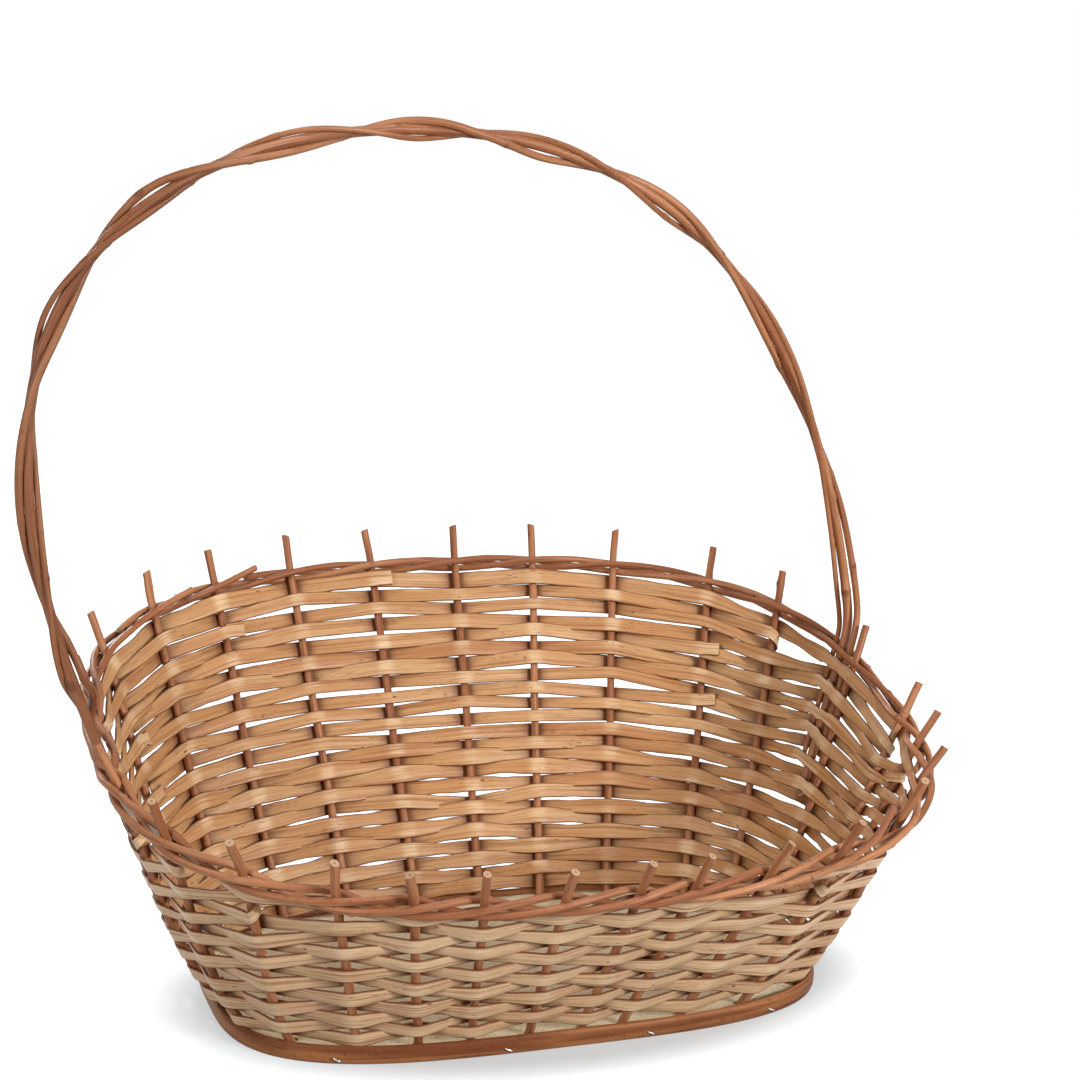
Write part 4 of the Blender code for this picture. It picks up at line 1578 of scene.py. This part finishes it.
@dataclass(frozen=True)
class Fibreboard:
    """Raw fibreboard: tan with pale and dark fibres and a speckle."""

    name: str = "fibreboard"
    roughness: float = 0.85
    gloss: float = 0.1
    base: Colour = (0.64, 0.51, 0.32)
    pale: Colour = (0.75, 0.62, 0.42)
    dark: Colour = (0.22, 0.13, 0.065)
    cloud: Streaks = Streaks(45.0, 45.0, Fade(0.35, 0.65), detail=3.0)
    fine: Streaks = Streaks(900.0, 900.0, Fade(0.52, 0.68, 0.7), detail=3.0, roughness=0.7)
    flakes: Streaks = Streaks(420.0, 420.0, Fade(0.60, 0.70, 0.6))
    relief: float = 0.0003
    relief_strength: float = 0.7

    def make(self) -> Material:
        """Builds the material.

        Returns:
            The material.
        """
        finish = Finish(self.name, self.roughness, gloss=self.gloss)
        place = finish.in_object()
        fine = finish.streaks(place, self.fine)
        flakes = finish.streaks(place, self.flakes)
        finish.give("Base Color", finish.layered(self.base, (
            (finish.mask(place, self.cloud), self.pale),
            (finish.fade(fine, self.fine.shows), self.dark),
            (finish.fade(flakes, self.flakes.shows), self.pale))))
        finish.bump(finish.math("ADD", fine, flakes), self.relief, self.relief_strength)
        return finish.material


@dataclass(frozen=True)
class StapleWire:
    """Bright drawn wire, slightly scuffed."""

    name: str = "staple_wire"
    roughness: float = 0.3
    steel: Colour = (0.62, 0.61, 0.60)
    dull: Colour = (0.38, 0.36, 0.34)
    scuff: Streaks = Streaks(300.0, 2500.0, Fade(0.4, 0.7), detail=3.0)
    roughness_range: Fade = Fade(0.3, 0.7, 0.45, 0.22)
    relief: float = 0.00005
    relief_strength: float = 0.4

    def make(self) -> Material:
        """Builds the material.

        Returns:
            The material.
        """
        finish = Finish(self.name, self.roughness, metallic=1.0)
        scuff = finish.streaks(finish.stored(GRAIN), self.scuff)
        dulled = finish.fade(scuff, self.scuff.shows)
        finish.give("Base Color", finish.mix(dulled, self.steel, self.dull))
        finish.give("Roughness", finish.fade(scuff, self.roughness_range))
        finish.bump(scuff, self.relief, self.relief_strength)
        return finish.material


# ---- basket


@dataclass(frozen=True)
class RodLook:
    """How a willow rod grew and was cut, and how many sides its section has."""

    unevenness: float
    knot_spacing: float
    knot_swell: float
    cut_slant: float
    taper: float = 1.0
    sides: int = 14


@dataclass(frozen=True)
class Part:
    """Pieces with one finish, made of rods or strips, that stand for nodes of the frame."""

    plan: WallPlan
    rod_sweep: RodSweep
    strip_sweep: StripSweep
    material: Material

    @staticmethod
    def attach(piece: Object, slot: Slot, *nodes: str) -> None:
        """Lets a finished piece stand for nodes of the frame.

        Args:
            piece: The piece.
            slot: Material slot of the nodes that it replaces; not used.
            nodes: Nodes of the frame that it replaces.
        """
        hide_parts(*nodes)
        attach(piece, BODY)
        LOG.info("%s: %d faces, rides on %s", piece.name, len(piece.data.polygons), BODY)

    def rod(self, name: str, points: Sequence[Vector], radius: float, look: RodLook, seed: int,
            slot: Slot) -> None:
        """Makes a rod.

        Args:
            name: Name of the piece and of the node that it replaces.
            points: Points of its middle line.
            radius: Radius at its thick end.
            look: How it grew and was cut.
            seed: Number that sets where its knots are.
            slot: Material slot of the node.
        """
        path = path_mesh(name + "_line", points, {})
        values = {"Radius": radius, "Taper": look.taper, "Unevenness": look.unevenness,
                  "Knot Spacing": look.knot_spacing, "Knot Swell": look.knot_swell,
                  "Cut Slant": look.cut_slant, "Seed": seed, "Sides": look.sides,
                  "Material": self.material}
        self.attach(self.rod_sweep.run(name, path, values), slot, name)

    def strip(self, name: str, path: Mesh, values: dict[str, object],
              slot: Slot) -> None:
        """Makes a flat strip from its path and the tree's inputs, and gives it the finish."""
        values = {**values, "Material": self.material}
        self.attach(self.strip_sweep.run(name, path, values), slot, name)


@dataclass(frozen=True)
class Stakes(Part):
    """The stakes: straight rods with a slight wander, cut off above the rim."""

    proud: float = 0.0185
    base: float = 0.0026
    wander: float = 0.00025
    free_lean: float = 0.0012
    step: float = 0.004
    waves: float = 1.5
    thickness_change: tuple[float, float] = (0.95, 1.03)
    slant: float = 0.45
    look: RodLook = RodLook(0.05, 0.055, 0.22, 0.0, taper=0.97)

    def line(self, angle: float, chance: random.Random) -> list[Vector]:
        """Points up a stake.

        Args:
            angle: Angle of the stake.
            chance: Random numbers of the stake.

        Returns:
            The points, from its foot up.
        """
        plan = self.plan
        along, _, out = plan.axes(angle, plan.length(angle))
        lean = Vector((0.0, 0.0, 0.0))
        lean += along * chance.uniform(-1.0, 1.0) + out * chance.uniform(-1.0, 1.0)
        height = plan.length(angle) + self.proud
        count = max(2, round(height / self.step))
        swings = [chance.uniform(0.0, TURN) for _ in range(2)]
        points = []
        for index in range(count + 1):
            share = index / count
            bend = self.wander * math.sin(self.waves * TURN * share + swings[0])
            free = smoothstep((share * height - plan.length(angle)) / self.proud)
            place = plan.place(angle, self.base + (height - self.base) * share)
            points.append(place + along * bend + lean * self.free_lean * free)
        return points

    def make(self) -> None:
        """Makes every stake."""
        wall = self.plan.wall
        for number, angle in enumerate(wall.stakes, 1):
            chance = random.Random(number)
            radius = wall.stake_radius * chance.uniform(*self.thickness_change)
            look = replace(self.look, cut_slant=chance.uniform(-self.slant, self.slant))
            line = self.line(angle, chance)
            self.rod(f"stake_{number:02d}", line, radius, look, number, Slot.STAKE)


@dataclass(frozen=True)
class Strips(Part):
    """The strips of the weave."""

    ring_width: float = 0.0096
    short_width: float = 0.0085
    width_change: tuple[float, float] = (0.85, 1.10)
    fill: tuple[float, float] = (1.03, 1.30)
    short_leg: float = 0.010
    # How far each side of a post the painted shade and painted highlight reach.
    post_shading: float = 0.0070
    step: float = 0.002
    bend: float = 0.0065
    bend_share: float = 0.4
    roll: float = math.radians(7.0)
    roll_share: float = 0.5
    drift: float = 0.0011
    end_gap: float = 0.16
    ends_from: float = 0.14
    ends_over: float = 0.06
    roundness: float = 0.30
    unevenness: float = 0.20
    raggedness: float = 0.09
    waviness: float = 0.0010
    cup: float = 0.00025
    first_seed: int = 101

    def loosened(self, stations: Sequence[Station], chance: random.Random) -> list[Station]:
        """Stations moved and rolled a little, as a hand-laid strip is.

        Args:
            stations: Stations of a strip.
            chance: Random numbers of the strip.

        Returns:
            The moved stations.
        """
        moved = []
        before = None
        for one in stations:
            if before is None or (one.middle - before.middle).length > self.short_leg:
                drift, roll = chance.gauss(0.0, self.drift), chance.gauss(0.0, self.roll)
            side = Vector((-one.rise.y, one.rise.x, 0.0))
            tilt = one.rise + side * math.tan(roll) * self.roll_share
            middle = one.middle + one.rise * drift
            moved.append(Station(middle, tilt.normalized(), one.room, one.side))
            before = one
        return moved

    def path(self, name: str, stations: Sequence[Station], width: float) -> Mesh:
        """Smooth path of a strip with its width direction and width.

        Args:
            name: Name of the strip.
            stations: Its stations.
            width: Its full width.

        Returns:
            The path, with the attributes that the sweep reads.
        """
        middles = [one.middle for one in stations]
        points = softened(middles, self.step, self.bend, self.bend_share)
        ends = travelled(middles)
        rises, spreads, tucks, outers = [], [], [], []
        leg = 0
        for index in range(len(points)):
            place = ends[-1] * index / (len(points) - 1)
            while leg < len(stations) - 2 and ends[leg + 1] < place:
                leg += 1
            share = smoothstep((place - ends[leg]) / max(TINY, ends[leg + 1] - ends[leg]))
            before, after = stations[leg], stations[leg + 1]
            rises.append(before.rise.lerp(after.rise, share).normalized())
            room = before.room + (after.room - before.room) * share
            near = smoothstep(abs(2.0 * share - 1.0))
            if ends[leg + 1] - ends[leg] < self.short_leg:
                near = 0.0
            fill = self.fill[0] + (self.fill[1] - self.fill[0]) * near
            fill -= self.end_gap * smoothstep((abs(points[index].x) - self.ends_from)
                                              / self.ends_over)
            spreads.append(min(0.0, room * fill / width - 1.0))
            # Which side of the nearby posts the strip passes, fading away from them and signed by
            # the outer face: the finish paints a highlight on the face over a stake and shade on the
            # face behind one.
            tuck = sum(one.side * math.exp(-((place - end) / self.post_shading) ** 2)
                       for one, end in ((before, ends[leg]), (after, ends[leg + 1])))
            ahead = points[min(index + 1, len(points) - 1)] - points[max(index - 1, 0)]
            facing = rises[-1].cross(ahead)
            outwards = facing.x * points[index].x + facing.y * points[index].y
            tucks.append(math.copysign(tuck, tuck * outwards))
            # 1 on outer faces, which the finish paints lighter; -1 on inner faces, which it paints
            # darker.
            outers.append(math.copysign(1.0, outwards))
        return path_mesh(name + "_line", points, {"rise": rises, "spread": spreads,
                                                  "tuck": tucks, "outer": outers})

    def make(self, weave: Weave) -> None:
        """Makes every strip.

        Args:
            weave: Where the strips run.
        """
        for number, (name, stations) in enumerate(weave.strips()):
            chance = random.Random(self.first_seed + number)
            width = self.short_width if "short" in name else self.ring_width
            width *= chance.uniform(*self.width_change)
            path = self.path(name, self.loosened(stations, chance), width)
            values = {"Width": width, "Thickness": weave.sizes.thickness,
                      "Roundness": self.roundness, "Width Change": self.unevenness,
                      "Raggedness": self.raggedness, "Waviness": self.waviness,
                      "Cup": chance.uniform(-self.cup, self.cup), "Seed": number + 1}
            self.strip(name, path, values, Slot.STRIP)


class Role(Enum):
    """Where a rim rod passes a post."""

    INSIDE = 0
    HIGH = 1
    LOW = 2


@dataclass(frozen=True)
class Rim(Part):
    """Three rods twined round the posts, each two outside and one inside."""

    radius: float = 0.0019
    lift: float = 0.0019 * 1.25
    slack: float = 0.0012
    start: float = 0.4
    tail: float = 0.024
    tail_rise: float = 0.008
    tail_drift: float = 0.003
    contact: float = 0.0001
    step: float = 0.003
    bend: float = 0.006
    count: int = 3
    loose_at: float = math.radians(-25.0)
    loose_span: float = math.radians(45.0)
    loose_out: float = 0.0016
    look: RodLook = RodLook(0.10, 0.085, 0.25, 0.4)
    first_seed: int = 40

    def place(self, angle: float, outwards: float, lift: float, sideways: float = 0.0) -> Vector:
        """Point near the rim's middle line."""
        height = self.plan.length(angle) - (self.lift + self.radius) + lift
        return self.plan.place(angle, height, outwards, sideways)

    def looseness(self, angle: float) -> float:
        """1 where the rods lie loosest, and 0 where they lie close."""
        away = abs((angle - self.loose_at + math.pi) % TURN - math.pi)
        return smoothstep(1.0 - away / self.loose_span)

    def at_post(self, post: Post, role: Role) -> tuple[float, float]:
        """Offsets of a rod, outwards and upwards, where it passes a post.

        Args:
            post: The post.
            role: Where the rod passes it.

        Returns:
            The offsets.
        """
        spare = self.loose_out * self.looseness(post.main.rim_angle)
        offset = post.radius + self.radius + self.contact + spare
        offsets = {Role.INSIDE: (-offset, 0.0), Role.HIGH: (offset, self.lift),
                   Role.LOW: (offset, -self.lift)}
        return offsets[role]

    def between(self, post: Post, following: Post, role: Role) -> tuple[float, float]:
        """Offsets of a rod midway to the next post.

        Args:
            post: The post before.
            following: The post after.
            role: Where the rod passes the post before.

        Returns:
            The offsets.
        """
        spare = self.slack + self.loose_out * self.looseness(post.main.rim_angle)
        outer = max(post.radius, following.radius) + self.radius + spare
        offsets = {Role.INSIDE: (0.0, self.lift), Role.HIGH: (outer, 0.0),
                   Role.LOW: (0.0, -self.lift)}
        return offsets[role]

    @staticmethod
    def angle_between(post: Post, following: Post, share: float) -> float:
        """Angle at a share of the way from one post to the next."""
        start, end = post.lines[-1].rim_angle, following.lines[0].rim_angle
        return start - ((start - end) % TURN) * share

    def line(self, posts: Posts, number: int) -> list[Vector]:
        """Points that a rod passes.

        Args:
            posts: Posts that it passes.
            number: Number of the rod, and of the post where it starts.

        Returns:
            The points.
        """
        last = number + self.count * math.ceil((len(posts) - number) / self.count)
        outwards, _ = self.at_post(posts[number], Role.INSIDE)
        angle = self.angle_between(posts[number], posts[number + 1], self.start)
        points = [self.place(angle, outwards * (0.5 - self.start), self.lift * 2.0 * self.start)]
        for index in range(number, last):
            post, following = posts[index], posts[index + 1]
            role = Role((index - number) % self.count)
            if index > number:
                points += [self.place(line.rim_angle, *self.at_post(post, role))
                           for line in post.lines]
            halfway = self.angle_between(post, following, 0.5)
            points.append(self.place(halfway, *self.between(post, following, role)))
        outwards, lift = self.at_post(posts[last], Role.INSIDE)
        angle = posts[last].main.rim_angle
        points.append(self.place(angle, outwards, lift))
        points.append(self.place(angle, outwards - self.tail_drift, lift + self.tail_rise,
                                 -self.tail))
        return points

    def make(self, posts: Posts) -> None:
        """Makes the rods.

        Args:
            posts: Posts that the rods pass.
        """
        for number in range(self.count):
            name = f"rim_rod_{number + 1}"
            points = catmull_rom(self.line(posts, number), self.step)
            points = softened(points, self.step, self.bend)
            self.rod(name, points, self.radius, self.look, self.first_seed + number, Slot.ROD)


class Bow:
    """The bow handle: a thick rod and two thinner ones wound round it."""

    LOOK = RodLook(0.06, 0.075, 0.22, 1.2, sides=16)
    FIRST_SEED = 60

    def __init__(self, part: Part, posts: Posts, sizes: BowSizes) -> None:
        """Sets out the arch.

        Args:
            part: Maker of the rods.
            posts: Posts and the lines of the bow's feet.
            sizes: Sizes of the bow.
        """
        self.part = part
        self.plan = part.plan
        self.posts = posts
        self.sizes = sizes
        left = self.foot(posts.left_core, -sizes.foot_rise)
        right = self.foot(posts.right_core, -sizes.foot_rise)
        self.chord = Vector((right.x - left.x, right.y - left.y, 0.0)).normalized()
        self.front = Vector((self.chord.y, -self.chord.x, 0.0))
        left_up = (left - self.foot(posts.left_core, 0.0)).normalized()
        left_up = (left_up + self.chord * sizes.lean[0]).normalized()
        right_up = (Vector((0.0, 0.0, 1.0)) + self.chord * sizes.lean[1]).normalized()
        crown = (left + right) / 2.0 + self.chord * sizes.crown_shift
        crown.z = sizes.crown_height
        steps = [step / sizes.arch_steps for step in range(sizes.arch_steps + 1)]
        rise = [self.bezier(left, left + left_up * sizes.foot_reach[0],
                            crown - self.chord * sizes.crown_reach[0], crown, step)
                for step in steps]
        fall = [self.bezier(crown, crown + self.chord * sizes.crown_reach[1],
                            right + right_up * sizes.foot_reach[1], right, step)
                for step in steps]
        self.arch = rise + fall[1:]
        self.length = travelled(self.arch)[-1]

    @staticmethod
    def bezier(start: Vector, lead: Vector, trail: Vector, end: Vector, share: float) -> Vector:
        """Point of a cubic curve.

        Args:
            start: Its first point.
            lead: Control point after it.
            trail: Control point before the last point.
            end: Its last point.
            share: Share of the way along it.

        Returns:
            The point.
        """
        rest = 1.0 - share
        return (start * rest ** 3 + lead * 3.0 * rest * rest * share
                + trail * 3.0 * rest * share * share + end * share ** 3)

    def foot(self, line: Line, depth: float) -> Vector:
        """Point of a foot of the bow at a depth below the rim line.

        Args:
            line: Line of the foot.
            depth: Distance below the rim line, along it.

        Returns:
            The point.
        """
        share = 1.0 - depth / self.plan.length(line.rim_angle)
        angle = line.angle_at(share)
        return self.plan.place(angle, share * self.plan.length(angle))

    def centre_line(self, depth: float) -> list[Vector]:
        """Points of the thick rod's line, from inside one wall to inside the other.

        Args:
            depth: How far the ends go below the rim line.

        Returns:
            The points, from the left.
        """
        left = self.foot(self.posts.left_core, depth)
        right = self.foot(self.posts.right_core, depth)
        line = evenly_spaced([left, *self.arch, right], self.sizes.step)
        relaxed = [line[0]]
        relaxed += [(a + b * 2.0 + c) / 4.0 for a, b, c in zip(line, line[1:], line[2:])]
        return relaxed + [line[-1]]

    def half_turns(self, travel: float) -> float:
        """Half turns of the wrapping at a distance from the left end of the bow.

        Args:
            travel: Distance from the left end.

        Returns:
            The number of half turns.
        """
        share = min(1.0, max(0.0, travel / self.length))
        crossings = self.sizes.crossings
        for count, (start, end) in enumerate(zip(crossings, crossings[1:])):
            if share <= end:
                return count + (share - start) / (end - start)
        return len(crossings) - 1.0

    def settled(self, travel: float) -> float:
        """How far the wrapping has closed up: 0 inside the walls, 1 along the bow."""
        settle = self.sizes.settle
        return smoothstep(travel / settle[0]) * smoothstep((self.length - travel) / settle[1])

    def wrap(self, number: int) -> list[Vector]:
        """Line of a rod that wraps the thick one and lies beside it inside the walls.

        Args:
            number: Number of the wrapping rod.

        Returns:
            The points, from the left.
        """
        sizes = self.sizes
        depth = sizes.wrap_depths[number]
        line = self.centre_line(depth)
        closed = sizes.core_radius + sizes.wrap_radii[number] - sizes.pressed
        left_reach = sizes.reaches[1] if number else sizes.left_outer_reach
        points = []
        travel = -depth - sizes.foot_rise
        for index, point in enumerate(line):
            before, after = line[max(0, index - 1)], line[min(len(line) - 1, index + 1)]
            if index:
                travel += (point - line[index - 1]).length
            tangent = (after - before).normalized()
            on_left = travel < self.length / 2.0
            core = self.posts.left_core if on_left else self.posts.right_core
            along, _, _ = self.plan.axes(core.rim_angle, self.plan.length(core.rim_angle))
            blend = self.settled(travel)
            front = (along if on_left else -along).lerp(self.front, blend)
            front = (front - tangent * front.dot(tangent)).normalized()
            outer = front.cross(tangent)
            open_reach = left_reach if on_left else sizes.reaches[number]
            turn = math.pi * (self.half_turns(travel) + number)
            looseness = 0.5 + 0.5 * math.sin(sizes.slack_pace * turn + number)
            slack = sizes.slack * math.sin(turn) ** 2 * looseness ** 3
            reach = open_reach + (closed + slack - open_reach) * blend
            if on_left:
                turn = sizes.left_turn + (turn - sizes.left_turn) * blend
            points.append(point + front * math.cos(turn) * reach - outer * math.sin(turn) * reach)
        return points

    def make(self) -> None:
        """Makes the three rods."""
        sizes = self.sizes
        rods = [("handle_core", self.centre_line(sizes.core_depth), sizes.core_radius)]
        for number, radius in enumerate(sizes.wrap_radii):
            rods.append((f"handle_wrap_{number + 1}", self.wrap(number), radius))
        for number, (name, line, radius) in enumerate(rods):
            points = catmull_rom(line, sizes.fine_step)
            self.part.rod(name, points, radius, self.LOOK, self.FIRST_SEED + number, Slot.ROD)


@dataclass(frozen=True)
class Band(Part):
    """The half-round rod bent round the board, with its ends butted at the back."""

    points: int = 180
    roundness: float = 0.7
    raggedness: float = 0.03
    seed: int = 90

    def make(self) -> None:
        """Makes the band."""
        wall = self.plan.wall
        butt = 2.0 * CONTACT / wall.foot_half_width
        line = []
        for step in range(self.points + 1):
            turn = math.pi / 2.0 - butt / 2.0 - (TURN - butt) * step / self.points
            point = wall.outline(turn, wall.band_thickness / 2.0)
            point.z = wall.band_height / 2.0
            line.append(point)
        rises = [Vector((0.0, 0.0, 1.0))] * len(line)
        path = path_mesh("foot_band_line", line, {"rise": rises, "spread": [0.0] * len(line),
                                                  "outer": [1.0] * len(line)})
        values = {"Width": wall.band_height, "Thickness": wall.band_thickness,
                  "Roundness": self.roundness, "Width Change": 0.0,
                  "Raggedness": self.raggedness, "Waviness": 0.0, "Cup": 0.0, "Seed": self.seed}
        self.strip("foot_band", path, values, Slot.BAND)


@dataclass(frozen=True)
class Staples(Part):
    """The wire staples that hold the band to the board."""

    stake_after: tuple[int, ...] = (2, 6, 10, 15, 17, 20, 23)
    radius: float = 0.00045
    crown: float = 0.004
    leg: float = 0.009
    slant: float = math.radians(-25.0)
    step: float = 0.0004
    bend: float = 0.00045 * 1.5
    look: RodLook = RodLook(0.02, 1.0, 0.0, 1.0, sides=10)

    def line(self, number: int) -> list[Vector]:
        """Points that the wire of a staple passes.

        Args:
            number: Number of the stake after it, from 0.

        Returns:
            The points.
        """
        wall, plan = self.plan.wall, self.plan
        stakes = wall.stakes
        beyond = (plan.foot(stakes[number - 1]) + plan.foot(stakes[number])) / 2.0
        angle = math.atan2(beyond.y, beyond.x)
        middle = wall.outline(angle, 0.0)
        along = step_along(lambda at: wall.outline(at, 0.0), angle).normalized()
        inwards = Vector((-along.y, along.x, 0.0))
        middle.z = wall.board_thickness / 2.0
        middle -= inwards * (self.radius + CONTACT)
        crown = along * math.cos(self.slant) + Vector((0.0, 0.0, math.sin(self.slant)))
        left, right = middle - crown * self.crown / 2.0, middle + crown * self.crown / 2.0
        return [left + inwards * self.leg, left + inwards * self.bend, left + crown * self.bend,
                right - crown * self.bend, right + inwards * self.bend, right + inwards * self.leg]

    def make(self) -> None:
        """Makes the staples."""
        for count, number in enumerate(self.stake_after, 1):
            points = softened(self.line(number), self.step, self.radius)
            self.rod(f"staple_{count}", points, self.radius, self.look, count, Slot.STAPLE)


def dress_board(frame: dict, material: Material) -> None:
    """Gives the board its finish and leaves its shape as the frame has it.

    Args:
        frame: The loaded frame.
        material: Finish of the board.
    """
    node = frame["nodes"]["base_board"]
    node.data.materials.clear()
    node.data.materials.append(material)
    LOG.info("base_board keeps its shape and gets a finish")


# ---- studio


@dataclass(frozen=True)
class Lamp:
    """A soft square light that looks at the basket."""

    name: str
    place: Place
    size: float
    power: float
    aim: Place = (0.0, 0.0, 0.15)

    def make(self) -> None:
        """Makes the light."""
        data = bpy.data.lights.new(self.name, "AREA")
        data.size = self.size
        data.energy = self.power
        lamp = new_object(self.name, data)
        lamp.location = self.place
        view = Vector(self.aim) - Vector(self.place)
        lamp.rotation_euler = view.to_track_quat("-Z", "Y").to_euler()


@dataclass(frozen=True)
class Studio:
    """Camera, soft lights, pale floor and background."""

    eye: Place = (-0.362, -1.0728, 0.4629)
    pitch: float = 0.1987
    yaw: float = 0.3395
    roll: float = -0.0308
    lens: float = 73.37
    sensor: float = 36.0
    view_end: float = 30.0
    ambient: float = 0.03
    white: Colour = (1.0, 1.0, 1.0)
    floor_half: float = 6.0
    floor_colour: Colour = (0.27, 0.262, 0.255)
    glow_colour: Colour = (0.94, 0.98, 1.0)
    # Oval round the foot in which the floor's glow is dimmed: a painted soft shadow.
    shadow_shift: Place = (-0.02, 0.25, 0.0)
    shadow_scale: Place = (6.45, 10.1, 0.0)
    # Glow across the oval: dim near the foot, where it paints a soft shadow, and white further out.
    glow: Fade = Fade(1.00, 1.42, 1.12, 0.44)
    lamps: tuple[Lamp, ...] = (Lamp("key", (1.15, -1.80, 0.80), 0.5, 45.5),
                               Lamp("fill", (-1.8, -1.3, 0.9), 0.6, 28.0),
                               Lamp("top", (0.3, -0.4, 2.3), 0.5, 18.0),
                               Lamp("back", (-0.4, 2.1, 1.1), 0.8, 24.0))

    def camera(self) -> None:
        """Makes the camera."""
        data = bpy.data.cameras.new("camera")
        data.lens = self.lens
        data.sensor_width = self.sensor
        data.clip_end = self.view_end
        camera = new_object("camera", data)
        forward = Vector((math.sin(self.yaw) * math.cos(self.pitch),
                          math.cos(self.yaw) * math.cos(self.pitch), -math.sin(self.pitch)))
        level = Vector((math.cos(self.yaw), -math.sin(self.yaw), 0.0))
        plumb = forward.cross(level)
        right = level * math.cos(self.roll) + plumb * math.sin(self.roll)
        down = plumb * math.cos(self.roll) - level * math.sin(self.roll)
        matrix = camera.matrix_world.to_3x3()
        matrix.col[0], matrix.col[1], matrix.col[2] = right, -down, -forward
        camera.matrix_world = matrix.to_4x4()
        camera.location = self.eye
        bpy.context.scene.camera = camera

    @staticmethod
    def seen_as(nodes: Nodes, lights: Node, seen: Node) -> Socket:
        """Shader that looks different from how it lights things.

        Args:
            nodes: Tree of the shader.
            lights: Shader that lights things.
            seen: Shader for the camera, reflections and views through glass.

        Returns:
            The shader.
        """
        rays = nodes.add("ShaderNodeLightPath").outputs
        direct = nodes.math("MAXIMUM", rays["Is Camera Ray"], rays["Is Glossy Ray"])
        direct = nodes.math("MAXIMUM", direct, rays["Is Transmission Ray"])
        links = {0: direct, 1: lights.outputs[0], 2: seen.outputs[0]}
        return nodes.add("ShaderNodeMixShader", links).outputs[0]

    def surroundings(self) -> None:
        """Makes the world: soft light, and white where it is seen."""
        world = bpy.data.worlds.new("surroundings")
        world.use_nodes = True
        nodes = Nodes(world.node_tree)
        nodes.tree.nodes.clear()
        white = (*self.white, 1.0)
        soft = nodes.add("ShaderNodeBackground", {"Color": white, "Strength": self.ambient})
        bright = nodes.add("ShaderNodeBackground", {"Color": white, "Strength": 1.0})
        nodes.add("ShaderNodeOutputWorld", {0: self.seen_as(nodes, soft, bright)})
        bpy.context.scene.world = world

    def floor_finish(self) -> Material:
        """Matt material that is seen white, except in an oval under the basket, where a painted
        shadow dims it.

        Returns:
            The material.
        """
        material = bpy.data.materials.new("floor")
        material.use_nodes = True
        nodes = Nodes(material.node_tree)
        nodes.tree.nodes.clear()
        matt = nodes.add("ShaderNodeBsdfDiffuse", {"Color": (*self.floor_colour, 1.0)})
        place = nodes.add("ShaderNodeTexCoord").outputs["Object"]
        oval = nodes.add("ShaderNodeMapping", {"Vector": place, "Location": self.shadow_shift,
                                               "Scale": self.shadow_scale}).outputs[0]
        # Painted shadow: the floor glows less towards the middle of the oval.
        strength = nodes.ramp(nodes.size(oval), self.glow.since, self.glow.until,
                              self.glow.before, self.glow.after)
        glow = nodes.add("ShaderNodeEmission", {"Color": (*self.glow_colour, 1.0),
                                                "Strength": strength})
        both = nodes.add("ShaderNodeAddShader", {0: matt.outputs[0], 1: glow.outputs[0]})
        nodes.add("ShaderNodeOutputMaterial", {0: self.seen_as(nodes, matt, both)})
        return material

    def floor(self) -> None:
        """Makes the pale floor, which keeps the basket's shadow and has a painted shadow round the
        foot.
        """
        mesh = bpy.data.meshes.new("floor")
        half = self.floor_half
        square = [(-half, -half, 0.0), (half, -half, 0.0), (half, half, 0.0), (-half, half, 0.0)]
        mesh.from_pydata(square, [], [(0, 1, 2, 3)])
        mesh.materials.append(self.floor_finish())
        floor = new_object("floor", mesh)

    def make(self) -> None:
        """Makes the studio."""
        self.camera()
        self.surroundings()
        self.floor()
        for lamp in self.lamps:
            lamp.make()
        bpy.context.scene.view_settings.view_transform = "Standard"


def main() -> None:
    """Builds the dressed basket in its studio."""
    logging.basicConfig(level=logging.INFO, format="%(name)s: %(message)s")
    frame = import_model()
    Studio().make()

    strips, bow_sizes = StripSizes(), BowSizes()
    plan = WallPlan(Wall())
    posts = Posts(plan, bow_sizes, strips.width)
    tools = (plan, RodSweep(), StripSweep())
    steamed = SteamedWillow().make()
    bowed = BOW_WILLOW.make()
    brown = BROWN_WILLOW.make()

    dress_board(frame, Fibreboard().make())
    Band(*tools, brown).make()
    Staples(*tools, StapleWire().make()).make()
    Stakes(*tools, steamed).make()
    Strips(*tools, SplitWillow().make()).make(Weave(plan, posts, strips, bow_sizes))
    Rim(*tools, steamed).make(posts)
    Bow(Part(*tools, bowed), posts, bow_sizes).make()

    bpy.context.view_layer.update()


if __name__ == "__main__":
    main()
